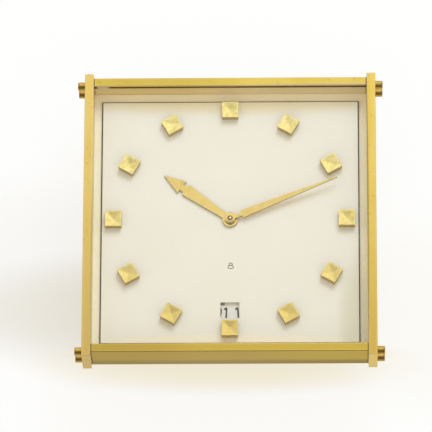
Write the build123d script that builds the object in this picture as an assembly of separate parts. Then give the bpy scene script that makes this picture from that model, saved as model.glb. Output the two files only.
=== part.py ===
from build123d import *

import math
import os

# A square brass desk clock with an eight-day spring movement and a date window.
# Lengths are millimetres, +Z is up and the dial looks towards -Y. The origin is on the
# floor under the middle of the clock. A depth is measured back from the front edge of
# the side plates, and outlines are drawn as seen from the front, about the hands' axis.

# Case plates
case_width = 165.0
case_height = 165.0
side_plate_thickness = 5.0
side_plate_depth = 22.2
side_plate_overhang = 2.4
cross_plate_thickness = 4.8
cross_plate_setback = 0.7
plate_chamfer = 0.25

# Corner screws, two at each end of the top and bottom plates
corner_head_diameter = 4.7
corner_head_length = 4.2
corner_head_chamfer = 0.3
corner_shank_diameter = 2.5
corner_shank_reach = 8.0
corner_slot_width = 0.8
corner_slot_depth = 0.9
front_screw_depth = 7.0
rear_screw_depth = 18.5

# Fits shared by the whole clock
screw_clearance = 0.05
running_clearance = 0.05
seat_clearance = 0.02
end_play = 0.1
cut_overrun = 1.0

# Front glass and its rubber channel
glass_setback = 2.1
glass_thickness = 3.0
glass_engagement = 1.2
groove_depth = 1.8
groove_lip = 0.3
channel_clearance = 0.05

# Dial
dial_side_margin = 5.1
dial_top_margin = 5.8
dial_bottom_margin = 4.3
dial_front = 13.0
dial_thickness = 0.6
dial_hole_radius = 3.6
window_width = 10.7
window_height = 9.6
window_gap = 2.3
dial_foot_radius = 1.0
dial_foot_inset = 7.0
dial_foot_length = 2.6

# Dark seal between the dial and its mount
dial_seal_thickness = 1.0
dial_seal_margin = 0.7
dial_seal_width = 3.2

# Dial mount, the brass plate that shows as a flat ring round the dial
mount_gap = 0.1
mount_thickness = 2.4
mount_opening_radius = 30.0
date_recess_depth = 1.3

# Hour markers, square blocks with a sunk four-sided top
marker_count = 12
marker_size = 9.2
marker_height = 4.0
marker_edge_margin = 6.0
marker_sink = 0.9
marker_rim = 0.25
marker_pit_flat = 0.3

# Hour hand
hour_hand_front = 11.7
hour_hand_thickness = 1.0
hour_boss_radius = 4.4
hour_root_width = 2.95
hour_shoulder_width = 7.1
hour_shoulder_radius = 30.7
hour_neck_width = 4.0
hour_neck_radius = 31.5
hour_barb_width = 8.4
hour_barb_radius = 33.4
hour_notch_radius = 34.1
hour_tip_radius = 46.0
hour_hand_angle = 305.7

# Minute hand
minute_boss_front = 10.4
minute_hand_thickness = 0.9
minute_boss_radius = 2.8
minute_neck_width = 2.0
minute_blade_width = 4.7
minute_blade_inner = 6.9
minute_blade_outer = 7.2
minute_tip_width = 0.5
minute_tip_gap = 0.8
minute_bend_radius = 4.0
minute_rise = 2.9
minute_hand_angle = 68.4

# Nut that holds the minute hand
nut_thickness = 0.8
nut_radius = 2.3
nut_rounding = 0.3
nut_countersink = 0.35
nut_tip_length = 0.2

# Date disc, with teeth round its inner edge
date_disc_margin = 2.0
date_disc_thickness = 0.8
date_disc_side_gap = 0.3
date_disc_float = 0.25
date_tooth_count = 31
date_tooth_tip_radius = 27.0
date_tooth_height = 2.0
date_tooth_tip_share = 0.12
date_tooth_root_share = 0.22

# Tooth shape of every wheel and pinion, as shares of the module and of the pitch
addendum_share = 0.85
dedendum_share = 1.15
tooth_root_share = 0.25
tooth_tip_share = 0.12

# Motion work between the dial mount and the movement
layer_gap = 0.3
motion_wheel_thickness = 0.8
cannon_teeth = 12
minute_wheel_teeth = 36
minute_pinion_teeth = 10
hour_wheel_teeth = 40
motion_distance = 14.4
minute_wheel_angle = 0.0
date_pinion_teeth = 16
date_wheel_teeth = 32
date_distance = 15.0
date_wheel_angle = 165.0
date_finger_radius = 11.4
date_finger_width = 2.4
hour_pipe_radius = 2.6
cannon_pipe_radius = 1.95
pipe_shoulder = 0.1
motion_stud_radius = 1.0
motion_stud_collar_radius = 1.8

# Movement frame
movement_plate_thickness = 1.6
movement_plate_gap = 10.0
spacer_width = 5.0
spacer_height = 1.4
pillar_radius = 2.5
pillar_tenon_radius = 1.5
pillar_circle_radius = 34.0
pillar_margin = 1.5
pillar_angle = 30.0
pillar_screw_radius = 1.0
pillar_screw_reach = 3.0
movement_screw_radius = 0.8
movement_screw_inset = 2.5
upper_screw_angle = 70.0
lower_screw_angle = -60.0
movement_screw_bite = 0.8
small_head_radius = 1.7
small_head_thickness = 0.9

# Centre arbor and wheel
arbor_radius = 1.2
centre_pinion_teeth = 10
centre_pinion_length = 1.4
centre_wheel_teeth = 64
centre_wheel_thickness = 0.7
centre_wheel_end_gap = 0.2

# Spring barrel
barrel_drop = 22.0
barrel_radius = 13.0
barrel_wall = 0.8
barrel_front_gap = 0.6
barrel_depth = 5.4
great_wheel_teeth = 48
great_wheel_thickness = 1.0
great_wheel_margin = 1.0
barrel_cap_thickness = 0.8
spring_thickness = 0.5
spring_pitch = 1.3
spring_half_turns = 10
spring_side_gap = 0.4

# Winding arbor, ratchet, click and key
winding_arbor_radius = 2.0
winding_hub_radius = 3.2
winding_front_pivot_radius = 1.0
winding_rear_pivot_radius = 1.8
winding_square = 2.4
ratchet_teeth = 24
ratchet_tip_radius = 7.5
ratchet_tooth_height = 1.0
ratchet_thickness = 1.2
ratchet_gap = 0.4
click_distance = 11.5
click_angle = 35.0
click_boss_radius = 1.8
click_pin_radius = 0.8
click_width = 1.6
click_beak_gap = 0.2
click_tail_length = 4.5
click_spring_thickness = 0.35
click_spring_length = 9.0
click_spring_gap = 0.15
key_clearance = 0.6
key_barrel_radius = 3.4
key_barrel_length = 8.0
key_wing_span = 23.0
key_wing_height = 9.0
key_wing_thickness = 2.0
key_waist = 4.0
key_socket_depth = 6.0

# Intermediate wheel between the barrel and the centre
intermediate_distance = 16.0
great_wheel_distance = 16.8
intermediate_pinion_teeth = 8
intermediate_pinion_overlap = 0.3
intermediate_wheel_teeth = 40
intermediate_wheel_thickness = 0.8
train_arbor_radius = 1.2
train_pivot_radius = 0.6

# Third wheel, which turns the escapement
third_distance = 15.75
third_angle = 60.0
third_pinion_teeth = 8
third_pinion_overlap = 0.1
third_wheel_teeth = 60
third_wheel_radius = 11.25
third_wheel_thickness = 0.6
third_wheel_front_gap = 1.5
third_arbor_radius = 0.8
third_pivot_radius = 0.5
wheel_rim_share = 0.8
wheel_hub_share = 0.28
wheel_spoke_share = 0.13
wheel_spokes = 4

# Lever escapement, sealed in a round can under the balance
escapement_radius = 11.0
escapement_height = 4.5
escapement_left = 12.5
escapement_rise = 19.1
rim_slot_gap = 0.3

# Balance, hairspring and cock
balance_radius = 8.0
balance_rim = 1.5
balance_arm_width = 1.6
balance_thickness = 0.8
balance_lift = 0.9
staff_radius = 0.6
staff_hub_radius = 1.3
jewel_depth = 0.6
cock_thickness = 1.0
cock_width = 4.0
cock_lift = 2.7
cock_post_radius = 1.2
cock_post_distance = 9.6
cock_angle = 120.0
hairspring_thickness = 0.15
hairspring_pitch = 0.8
hairspring_half_turns = 8
hairspring_height = 0.4
hairspring_lift = 0.35

# Corner blocks, back panel and movement cover
block_size = 8.0
block_length = 3.4
block_screw_radius = 1.2
block_screw_bite = 1.4
back_panel_thickness = 1.2
back_panel_hole_gap = 1.5
cover_gap = 2.0
cover_wall = 1.0
cover_rear_gap = 2.8
cover_edge_radius = 2.5
cover_flange_width = 6.0
cover_flange_thickness = 1.0
cover_screw_radius = 0.9
cover_screw_count = 4
cover_hole_gap = 0.8

# Setting knob on the rear end of the centre arbor
knob_gap = 0.6
knob_radius = 5.0
knob_length = 5.0
knob_flutes = 18
knob_flute_depth = 0.4
knob_flute_share = 0.3

# Places worked out from the sizes above
axis_height = side_plate_overhang + case_height / 2
side_plate_height = case_height + 2 * side_plate_overhang
opening_width = case_width - 2 * side_plate_thickness
opening_height = case_height - 2 * cross_plate_thickness
dial_width = opening_width - 2 * dial_side_margin
dial_height = opening_height - dial_top_margin - dial_bottom_margin
dial_drop = (dial_top_margin - dial_bottom_margin) / 2
dial_reach = min(dial_width / 2, dial_height / 2 - dial_drop)
marker_circle_radius = dial_reach - marker_edge_margin
minute_tip_radius = marker_circle_radius - minute_tip_gap
window_drop = marker_circle_radius - marker_size / 2 - window_gap - window_height / 2
date_disc_radius = window_drop + window_height / 2 + date_disc_margin
pillar_angles = [pillar_angle, 180 - pillar_angle, 180 + pillar_angle, -pillar_angle]
movement_screw_angles = [
    upper_screw_angle, 180 - upper_screw_angle, 180 - lower_screw_angle, lower_screw_angle
]
cover_screw_angles = [(index + 0.5) * 360 / cover_screw_count for index in range(cover_screw_count)]
groove_front = glass_setback - groove_lip
groove_width = glass_thickness + 2 * groove_lip
dial_back = dial_front + dial_thickness
mount_front = dial_back + dial_seal_thickness
mount_back = mount_front + mount_thickness
recess_floor = mount_front + date_recess_depth
date_front = recess_floor - date_disc_float - date_disc_thickness
hour_layer = date_front + date_disc_thickness + layer_gap
minute_layer = hour_layer + motion_wheel_thickness + layer_gap
front_plate_front = mount_back + spacer_height
front_plate_back = front_plate_front + movement_plate_thickness
rear_plate_front = front_plate_back + movement_plate_gap
rear_plate_back = rear_plate_front + movement_plate_thickness
centre_wheel_front = rear_plate_front - centre_wheel_end_gap - centre_wheel_thickness
centre_pinion_front = centre_wheel_front - centre_pinion_length
barrel_front = front_plate_back + barrel_front_gap
great_wheel_front = barrel_front + barrel_depth
intermediate_front = centre_wheel_front - layer_gap - intermediate_wheel_thickness
ratchet_front = rear_plate_back + ratchet_gap
third_wheel_front = front_plate_back + third_wheel_front_gap
escapement_back = front_plate_back + escapement_height
balance_front = escapement_back + balance_lift
hairspring_front = balance_front + balance_thickness + hairspring_lift
cock_front = escapement_back + cock_lift
back_panel_depth = mount_back + block_length
back_panel_back = back_panel_depth + back_panel_thickness
cover_back = ratchet_front + ratchet_thickness + cover_rear_gap + cover_wall
cover_height = cover_back - back_panel_back
knob_front = cover_back + knob_gap
key_front = cover_back + key_clearance
key_back = key_front + key_barrel_length + key_wing_height - key_waist
front_y = -key_back / 2

motion_module = 2 * motion_distance / (cannon_teeth + minute_wheel_teeth)
hour_module = 2 * motion_distance / (minute_pinion_teeth + hour_wheel_teeth)
date_module = 2 * date_distance / (date_pinion_teeth + date_wheel_teeth)
great_module = 2 * great_wheel_distance / (great_wheel_teeth + intermediate_pinion_teeth)
intermediate_module = 2 * intermediate_distance / (intermediate_wheel_teeth + centre_pinion_teeth)
centre_module = 2 * third_distance / (centre_wheel_teeth + third_pinion_teeth)
third_module = 2 * third_wheel_radius / third_wheel_teeth
great_wheel_tip_radius = great_module * (great_wheel_teeth / 2 + addendum_share)
movement_radius = max(
    pillar_circle_radius + pillar_radius + pillar_margin,
    barrel_drop + great_wheel_tip_radius + great_wheel_margin,
)
spacer_inner_radius = movement_radius - spacer_width
movement_screw_circle_radius = movement_radius - movement_screw_inset
back_panel_hole_radius = movement_radius + back_panel_hole_gap
cover_radius = movement_radius + cover_gap + cover_wall
cover_flange_radius = cover_radius + cover_flange_width
cover_screw_circle_radius = cover_radius + cover_flange_width / 2


def polar(radius, angle):
    """Point at a radius and an angle, counter-clockwise from the right."""
    return (radius * math.cos(math.radians(angle)), radius * math.sin(math.radians(angle)))


def triangle_corner():
    """Place of the intermediate arbor, at its two set distances from centre and barrel."""
    cosine = (intermediate_distance**2 + barrel_drop**2 - great_wheel_distance**2) / (
        2 * intermediate_distance * barrel_drop
    )
    return polar(intermediate_distance, -90 - math.degrees(math.acos(cosine)))


def aim(start, end):
    """Angle of the line from one place to another."""
    return math.degrees(math.atan2(end[1] - start[1], end[0] - start[0]))


centre = (0.0, 0.0)
barrel_place = (0.0, -barrel_drop)
intermediate_place = triangle_corner()
escapement_place = (-escapement_left, escapement_rise)
third_place = polar(third_distance, third_angle)
minute_wheel_place = polar(motion_distance, minute_wheel_angle)
date_wheel_place = polar(date_distance, date_wheel_angle)
click_place = (
    barrel_place[0] + polar(click_distance, click_angle)[0],
    barrel_place[1] + polar(click_distance, click_angle)[1],
)


def slab(outline, front, thickness):
    """Give a front-view outline its thickness, from a depth backwards."""
    base = Plane(
        origin=(0, front_y + front + thickness, axis_height), x_dir=(1, 0, 0), z_dir=(0, -1, 0)
    )
    return extrude(base * outline, amount=thickness)


def disc(place, radius, front, thickness):
    """Round slab at a place."""
    return slab(Pos(*place) * Circle(radius), front, thickness)


def hole(place, radius, front, thickness):
    """Round cutter that runs past both faces."""
    return disc(place, radius, front - cut_overrun, thickness + 2 * cut_overrun)


def tube(place, outer, inner, front, thickness):
    """Round slab with a hole."""
    return slab(Pos(*place) * (Circle(outer) - Circle(inner)), front, thickness)


def group(shapes):
    """Several separate solids kept as one node."""
    return Compound([solid for shape in shapes for solid in shape.solids()])


def turned(shape, angle):
    """Shape turned clockwise, as seen from the front, about the hands' axis."""
    return shape.rotate(Axis((0, 0, axis_height), (0, 1, 0)), angle)


def toothed(count, root, tip, root_share, tip_share, start):
    """Outline of straight-sided teeth; one tooth is centred on the start angle."""
    pitch = 360 / count
    points = []
    for index in range(count):
        middle = start + index * pitch
        points.append(polar(root, middle - root_share * pitch))
        points.append(polar(tip, middle - tip_share * pitch))
        points.append(polar(tip, middle + tip_share * pitch))
        points.append(polar(root, middle + root_share * pitch))
    return make_face(Polyline(*points, close=True))


def gear(teeth, module, start):
    """Outline of a wheel or pinion with a tooth centred on the start angle."""
    pitch_radius = teeth * module / 2
    return toothed(
        teeth,
        pitch_radius - dedendum_share * module,
        pitch_radius + addendum_share * module,
        tooth_root_share,
        tooth_tip_share,
        start,
    )


def mating(teeth, module, start):
    """Outline of a gear with a gap, in place of a tooth, centred on the start angle."""
    return gear(teeth, module, start + 180 / teeth)


def crossings(radius):
    """Openings between the spokes of a wheel with this pitch radius."""
    ring = Circle(radius * wheel_rim_share) - Circle(radius * wheel_hub_share)
    for index in range(wheel_spokes // 2):
        spoke = Rectangle(2 * radius, radius * wheel_spoke_share)
        ring -= Rot(0, 0, index * 360 / wheel_spokes) * spoke
    return ring


def spiral(inner, pitch, thickness, half_turns):
    """Flat spiral strip made of half circles that grow by half a pitch each."""
    inside = []
    outside = []
    for index in range(half_turns):
        sign = 1 if index % 2 == 0 else -1
        start = inner + index * pitch / 2
        finish = start + pitch / 2
        for radius_shift, arcs in ((0, inside), (thickness, outside)):
            middle = sign * (start - finish) / 2
            radius = (start + finish) / 2 + radius_shift
            arcs.append(
                ThreePointArc(
                    (sign * (start + radius_shift), 0),
                    (middle, sign * radius),
                    (-sign * (finish + radius_shift), 0),
                )
            )
    ends = [
        Line(inside[0] @ 0, outside[0] @ 0),
        Line(inside[-1] @ 1, outside[-1] @ 1),
    ]
    return make_face(inside + outside + ends)


def screw(place, shank, head, head_thickness, head_front, tip_depth):
    """Screw driven from behind: its head lies on a face, its shank runs forward."""
    body = disc(place, head, head_front, head_thickness)
    body += disc(place, shank, tip_depth, head_front - tip_depth)
    return body


def side_plate(side):
    """Upright brass slab, grooved for the glass and drilled for the corner screws."""
    plate = chamfer(
        Box(side_plate_thickness, side_plate_depth, side_plate_height).edges(), plate_chamfer
    )
    middle = (case_width - side_plate_thickness) / 2
    plate = Pos(side * middle, front_y + side_plate_depth / 2, axis_height) * plate
    plate -= groove_space()
    for spot in corner_spots():
        if spot[0] == side:
            plate -= corner_bore(spot)
    return plate


def cross_plate(level):
    """Top or bottom plate, held between the side plates and flush with them behind."""
    depth = side_plate_depth - cross_plate_setback
    plate = chamfer(Box(opening_width, depth, cross_plate_thickness).edges(), plate_chamfer)
    lift = axis_height + level * (case_height - cross_plate_thickness) / 2
    plate = Pos(0, front_y + side_plate_depth - depth / 2, lift) * plate
    plate -= groove_space()
    for spot in corner_spots():
        if spot[1] == level:
            plate -= corner_bore(spot)
    return plate


def groove_space():
    """Space that the glass and its channel take, cut into all four plates."""
    outline = Rectangle(opening_width + 2 * groove_depth, opening_height + 2 * groove_depth)
    return slab(outline, groove_front, groove_width)


def corner_spots():
    """Side, level and depth of each corner screw."""
    return [
        (side, level, depth)
        for side in (-1, 1)
        for level in (-1, 1)
        for depth in (front_screw_depth, rear_screw_depth)
    ]


def corner_plane(spot):
    """Plane on the outer face of a side plate, facing outwards, at a corner screw."""
    side, level, depth = spot
    lift = axis_height + level * (case_height - cross_plate_thickness) / 2
    return Plane(
        origin=(side * case_width / 2, front_y + depth, lift), x_dir=(0, 1, 0), z_dir=(side, 0, 0)
    )


def corner_bore(spot):
    """Cutter for the shank of a corner screw."""
    reach = side_plate_thickness + corner_shank_reach + end_play
    bore = Cylinder(
        corner_shank_diameter / 2 + screw_clearance, reach, align=(Align.CENTER, Align.CENTER, Align.MAX)
    )
    return corner_plane(spot) * bore


def corner_screw(spot):
    """Cylinder-head screw with a slot."""
    head = Cylinder(
        corner_head_diameter / 2, corner_head_length, align=(Align.CENTER, Align.CENTER, Align.MIN)
    )
    head = chamfer(head.edges().group_by(Axis.Z)[-1], corner_head_chamfer)
    slot = Pos(0, 0, corner_head_length) * Box(
        corner_head_diameter + 2 * cut_overrun, corner_slot_width, 2 * corner_slot_depth
    )
    shank = Cylinder(
        corner_shank_diameter / 2,
        side_plate_thickness + corner_shank_reach,
        align=(Align.CENTER, Align.CENTER, Align.MAX),
    )
    return corner_plane(spot) * (head - slot + shank)


def front_glass():
    """Flat pane whose edges sit in the groove."""
    outline = Rectangle(opening_width + 2 * glass_engagement, opening_height + 2 * glass_engagement)
    return slab(outline, glass_setback, glass_thickness)


def glass_channel():
    """Rubber channel round the edge of the glass, flush with the walls of the case."""
    reach = groove_depth - channel_clearance
    outline = Rectangle(opening_width + 2 * reach, opening_height + 2 * reach)
    outline -= Rectangle(opening_width, opening_height)
    front = groove_front + channel_clearance
    return slab(outline, front, groove_width - 2 * channel_clearance) - front_glass()


def dial_feet():
    """Places of the dial's four feet."""
    across = dial_width / 2 - dial_foot_inset
    up = dial_height / 2 - dial_foot_inset
    return [(across * side, up * level - dial_drop) for side in (-1, 1) for level in (-1, 1)]


def dial_plate():
    """Square dial, set a little low, with its date window and four feet behind it."""
    outline = Pos(0, -dial_drop) * Rectangle(dial_width, dial_height) - Circle(dial_hole_radius)
    outline -= Pos(0, -window_drop) * Rectangle(window_width, window_height)
    plate = slab(outline, dial_front, dial_thickness)
    for place in dial_feet():
        plate += disc(place, dial_foot_radius, dial_back, dial_foot_length)
    return plate


def dial_seal():
    """Thin dark frame that the dial's edge rests on."""
    across = dial_width + 2 * dial_seal_margin
    up = dial_height + 2 * dial_seal_margin
    outline = Rectangle(across, up)
    outline -= Rectangle(across - 2 * dial_seal_width, up - 2 * dial_seal_width)
    return slab(Pos(0, -dial_drop) * outline, dial_back, dial_seal_thickness)


def block_places():
    """Places of the four corner blocks."""
    across = (opening_width - block_size) / 2
    up = (opening_height - block_size) / 2
    return [(across * side, up * level) for side in (-1, 1) for level in (-1, 1)]


def dial_mount():
    """Brass plate behind the dial, recessed for the date disc."""
    outline = Rectangle(opening_width - 2 * mount_gap, opening_height - 2 * mount_gap)
    outline -= Circle(mount_opening_radius)
    plate = slab(outline, mount_front, mount_thickness)
    recess_radius = date_disc_radius + date_disc_side_gap
    plate -= disc(centre, recess_radius, mount_front - cut_overrun, date_recess_depth + cut_overrun)
    for place in dial_feet():
        plate -= hole(place, dial_foot_radius + screw_clearance, mount_front, mount_thickness)
    for place in block_places():
        bore_depth = block_screw_bite + end_play
        plate -= disc(place, block_screw_radius + screw_clearance, mount_back - bore_depth, bore_depth)
    for angle in movement_screw_angles:
        place = polar(movement_screw_circle_radius, angle)
        plate -= hole(place, movement_screw_radius + screw_clearance, recess_floor, mount_back - recess_floor)
    return plate


def mounting_block(place):
    """Brass block soldered into a corner, between the dial mount and the back panel."""
    outline = Rectangle(block_size, block_size) - Circle(block_screw_radius + screw_clearance)
    return slab(Pos(*place) * outline, mount_back, block_length)


def block_screw(place):
    """Screw through the back panel and the block into the dial mount."""
    return screw(
        place,
        block_screw_radius,
        small_head_radius,
        small_head_thickness,
        back_panel_back,
        mount_back - block_screw_bite,
    )


def back_panel():
    """Flat panel that closes the back, open in the middle for the movement."""
    outline = Rectangle(opening_width - 2 * mount_gap, opening_height - 2 * mount_gap)
    outline -= Circle(back_panel_hole_radius)
    panel = slab(outline, back_panel_depth, back_panel_thickness)
    for place in block_places():
        panel -= hole(place, block_screw_radius + screw_clearance, back_panel_depth, back_panel_thickness)
    for angle in cover_screw_angles:
        place = polar(cover_screw_circle_radius, angle)
        panel -= hole(place, cover_screw_radius + screw_clearance, back_panel_depth, back_panel_thickness)
    return panel


def movement_cover():
    """Drawn can over the rear of the movement, with a flange for its screws."""
    can = disc(centre, cover_radius, back_panel_back, cover_height)
    can = fillet(can.edges().group_by(Axis.Y)[-1], cover_edge_radius)
    inner_radius = cover_radius - cover_wall
    hollow = disc(centre, inner_radius, back_panel_back, cover_height - cover_wall)
    hollow = fillet(hollow.edges().group_by(Axis.Y)[-1], cover_edge_radius - cover_wall)
    can += disc(centre, cover_flange_radius, back_panel_back, cover_flange_thickness)
    can -= hollow
    can -= hole(centre, arbor_radius + cover_hole_gap, cover_back - cover_wall, cover_wall)
    can -= hole(barrel_place, winding_rear_pivot_radius + cover_hole_gap, cover_back - cover_wall, cover_wall)
    for angle in cover_screw_angles:
        place = polar(cover_screw_circle_radius, angle)
        can -= hole(place, cover_screw_radius + screw_clearance, back_panel_back, cover_flange_thickness)
    return can


def cover_screw(angle):
    """Small screw through the cover's flange into the back panel."""
    return screw(
        polar(cover_screw_circle_radius, angle),
        cover_screw_radius,
        small_head_radius,
        small_head_thickness,
        back_panel_back + cover_flange_thickness,
        back_panel_depth,
    )


def hour_marker(hour):
    """Square block, turned to its hour, with four facets that slope in to a sunk middle."""
    outer = marker_size - 2 * marker_rim
    edge = (outer - marker_pit_flat) / 2
    pit = Wedge(outer, marker_sink, outer, edge, edge, edge + marker_pit_flat, edge + marker_pit_flat)
    depth = dial_front - marker_height
    block = slab(Pos(0, marker_circle_radius) * Rectangle(marker_size, marker_size), depth, marker_height)
    lift = axis_height + marker_circle_radius
    block -= Pos(0, front_y + depth + marker_sink / 2, lift) * pit
    return turned(block, hour * 360 / marker_count)


def hour_hand():
    """Tapered shaft with a notched neck and an arrow head, pressed on the hour pipe."""
    half = [
        (hour_root_width / 2, 0),
        (hour_shoulder_width / 2, hour_shoulder_radius),
        (hour_neck_width / 2, hour_neck_radius),
        (hour_neck_width / 2, hour_notch_radius),
        (hour_barb_width / 2, hour_barb_radius),
        (0, hour_tip_radius),
    ]
    other_half = [(-across, up) for across, up in reversed(half[:-1])]
    outline = make_face(Polyline(*half, *other_half, close=True))
    outline += Circle(hour_boss_radius)
    outline -= Circle(hour_pipe_radius + seat_clearance)
    return turned(slab(outline, hour_hand_front, hour_hand_thickness), hour_hand_angle)


def minute_hand():
    """Needle blade that rises towards the glass, so that it passes over the markers."""
    half = [
        (minute_neck_width / 2, 0),
        (minute_neck_width / 2, minute_blade_inner),
        (minute_blade_width / 2, minute_blade_outer),
        (minute_tip_width / 2, minute_tip_radius),
    ]
    other_half = [(-across, up) for across, up in reversed(half)]
    outline = make_face(Polyline(*half, *other_half, close=True))
    outline += Circle(minute_boss_radius)
    outline -= Circle(cannon_pipe_radius + seat_clearance)
    plan = slab(outline, minute_boss_front - minute_rise, minute_rise + minute_hand_thickness)
    boss_end = -minute_boss_radius - cut_overrun
    tip_end = minute_tip_radius + cut_overrun
    climb = minute_rise * (tip_end - minute_bend_radius) / (minute_tip_radius - minute_bend_radius)
    profile = make_face(
        Polyline(
            (minute_boss_front, boss_end),
            (minute_boss_front, minute_bend_radius),
            (minute_boss_front - climb, tip_end),
            (minute_boss_front - climb + minute_hand_thickness, tip_end),
            (minute_boss_front + minute_hand_thickness, minute_bend_radius),
            (minute_boss_front + minute_hand_thickness, boss_end),
            close=True,
        )
    )
    side_view = Plane(origin=(0, front_y, axis_height), x_dir=(0, 1, 0), z_dir=(1, 0, 0))
    sheet = extrude(side_view * profile, amount=minute_boss_radius + cut_overrun, both=True)
    return turned(plan & sheet, minute_hand_angle)


def hand_nut():
    """Rounded nut on the tip of the centre arbor, countersunk round it, against the cannon pipe."""
    front = minute_boss_front - pipe_shoulder - nut_thickness
    nut = disc(centre, nut_radius, front, nut_thickness)
    nut = fillet(nut.edges().group_by(Axis.Y)[0], nut_rounding)
    bore_radius = arbor_radius + seat_clearance
    nut -= hole(centre, bore_radius, front, nut_thickness)
    mouth = nut.edges().group_by(Axis.Y)[0].sort_by(SortBy.RADIUS)[0]
    return chamfer(mouth, nut_countersink)


def date_disc():
    """Ring that carries the day numbers, toothed round its inner edge."""
    inner = toothed(
        date_tooth_count,
        date_tooth_tip_radius,
        date_tooth_tip_radius + date_tooth_height,
        0.5 - date_tooth_tip_share,
        0.5 - date_tooth_root_share,
        -90,
    )
    return slab(Circle(date_disc_radius) - inner, date_front, date_disc_thickness)


def cannon_pinion():
    """Pinion and pipe that carry the minute hand on the centre arbor."""
    outline = gear(cannon_teeth, motion_module, minute_wheel_angle)
    body = slab(outline, minute_layer, motion_wheel_thickness)
    front = minute_boss_front - pipe_shoulder
    body += disc(centre, cannon_pipe_radius, front, minute_layer - front)
    length = minute_layer + motion_wheel_thickness - front
    return body - hole(centre, arbor_radius + seat_clearance, front, length)


def hour_wheel():
    """Hour wheel with its pipe and the pinion that turns the date wheel."""
    body = slab(
        mating(hour_wheel_teeth, hour_module, minute_wheel_angle), hour_layer, motion_wheel_thickness
    )
    body += slab(
        gear(date_pinion_teeth, date_module, date_wheel_angle), date_front, hour_layer - date_front
    )
    front = hour_hand_front - pipe_shoulder
    body += disc(centre, hour_pipe_radius, front, date_front - front)
    length = hour_layer + motion_wheel_thickness - front
    return body - hole(centre, cannon_pipe_radius + running_clearance, front, length)


def minute_wheel():
    """Wheel and pinion between the cannon pinion and the hour wheel, on a stud."""
    place = Pos(*minute_wheel_place)
    toward_centre = minute_wheel_angle + 180
    wheel = slab(
        place * mating(minute_wheel_teeth, motion_module, toward_centre), minute_layer, motion_wheel_thickness
    )
    wheel += slab(
        place * gear(minute_pinion_teeth, hour_module, toward_centre), hour_layer, minute_layer - hour_layer
    )
    length = minute_layer + motion_wheel_thickness - hour_layer
    return wheel - hole(minute_wheel_place, motion_stud_radius + running_clearance, hour_layer, length)


def date_wheel():
    """Wheel that turns once a day and carries the finger for the date disc."""
    outline = mating(date_wheel_teeth, date_module, date_wheel_angle + 180)
    outline += Rot(0, 0, date_wheel_angle + 180 / date_wheel_teeth) * (
        Pos(date_finger_radius / 2, 0) * Rectangle(date_finger_radius, date_finger_width)
    )
    outline -= Circle(motion_stud_radius + running_clearance)
    return slab(Pos(*date_wheel_place) * outline, date_front, date_disc_thickness)


def motion_stud(place, wheel_front, wheel_back):
    """Stud riveted in the front plate, with a collar behind its wheel and a rivet head."""
    stud = disc(place, motion_stud_radius, wheel_front - end_play, front_plate_back - wheel_front + end_play)
    collar_front = wheel_back + end_play
    stud += disc(place, motion_stud_collar_radius, collar_front, front_plate_front - collar_front)
    return stud


def motion_studs():
    """Studs of the minute wheel and the date wheel."""
    return group(
        [
            motion_stud(minute_wheel_place, hour_layer, minute_layer + motion_wheel_thickness),
            motion_stud(date_wheel_place, date_front, date_front + date_disc_thickness),
        ]
    )


def movement_plate(front, pivots):
    """Round movement plate, drilled for its pivots and the pillar screws or tenons."""
    plate = disc(centre, movement_radius, front, movement_plate_thickness)
    for place, radius in pivots:
        plate -= hole(place, radius, front, movement_plate_thickness)
    return plate


def movement_front_plate():
    """Plate on the dial side."""
    pivots = [
        (centre, arbor_radius + running_clearance),
        (barrel_place, winding_front_pivot_radius + running_clearance),
        (intermediate_place, train_pivot_radius + running_clearance),
        (third_place, third_pivot_radius + running_clearance),
        (minute_wheel_place, motion_stud_radius + screw_clearance),
        (date_wheel_place, motion_stud_radius + screw_clearance),
    ]
    for angle in pillar_angles:
        pivots.append((polar(pillar_circle_radius, angle), pillar_tenon_radius + screw_clearance))
    for angle in movement_screw_angles:
        pivots.append((polar(movement_screw_circle_radius, angle), movement_screw_radius + screw_clearance))
    return movement_plate(front_plate_front, pivots)


def movement_rear_plate():
    """Plate on the winding side."""
    pivots = [
        (centre, arbor_radius + running_clearance),
        (barrel_place, winding_rear_pivot_radius + running_clearance),
        (intermediate_place, train_pivot_radius + running_clearance),
        (third_place, third_pivot_radius + running_clearance),
        (click_place, click_pin_radius + screw_clearance),
    ]
    for angle in pillar_angles:
        pivots.append((polar(pillar_circle_radius, angle), pillar_screw_radius + screw_clearance))
    return movement_plate(rear_plate_front, pivots)


def movement_spacer():
    """Ring that stands the movement off the dial mount."""
    ring = tube(centre, movement_radius, spacer_inner_radius, mount_back, spacer_height)
    for angle in movement_screw_angles:
        place = polar(movement_screw_circle_radius, angle)
        ring -= hole(place, movement_screw_radius + screw_clearance, mount_back, spacer_height)
    return ring


def pillar(angle):
    """Pillar between the movement plates, riveted in front and tapped behind."""
    place = polar(pillar_circle_radius, angle)
    post = disc(place, pillar_radius, front_plate_back, movement_plate_gap)
    post += disc(place, pillar_tenon_radius, front_plate_front, movement_plate_thickness)
    reach = pillar_screw_reach + end_play
    return post - disc(place, pillar_screw_radius + screw_clearance, rear_plate_front - reach, reach)


def pillar_screw(angle):
    """Screw through the rear plate into a pillar."""
    return screw(
        polar(pillar_circle_radius, angle),
        pillar_screw_radius,
        small_head_radius,
        small_head_thickness,
        rear_plate_back,
        rear_plate_front - pillar_screw_reach,
    )


def movement_screw(angle):
    """Screw through the front plate and the spacer into the dial mount."""
    return screw(
        polar(movement_screw_circle_radius, angle),
        movement_screw_radius,
        small_head_radius,
        small_head_thickness,
        front_plate_back,
        mount_back - movement_screw_bite,
    )


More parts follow.
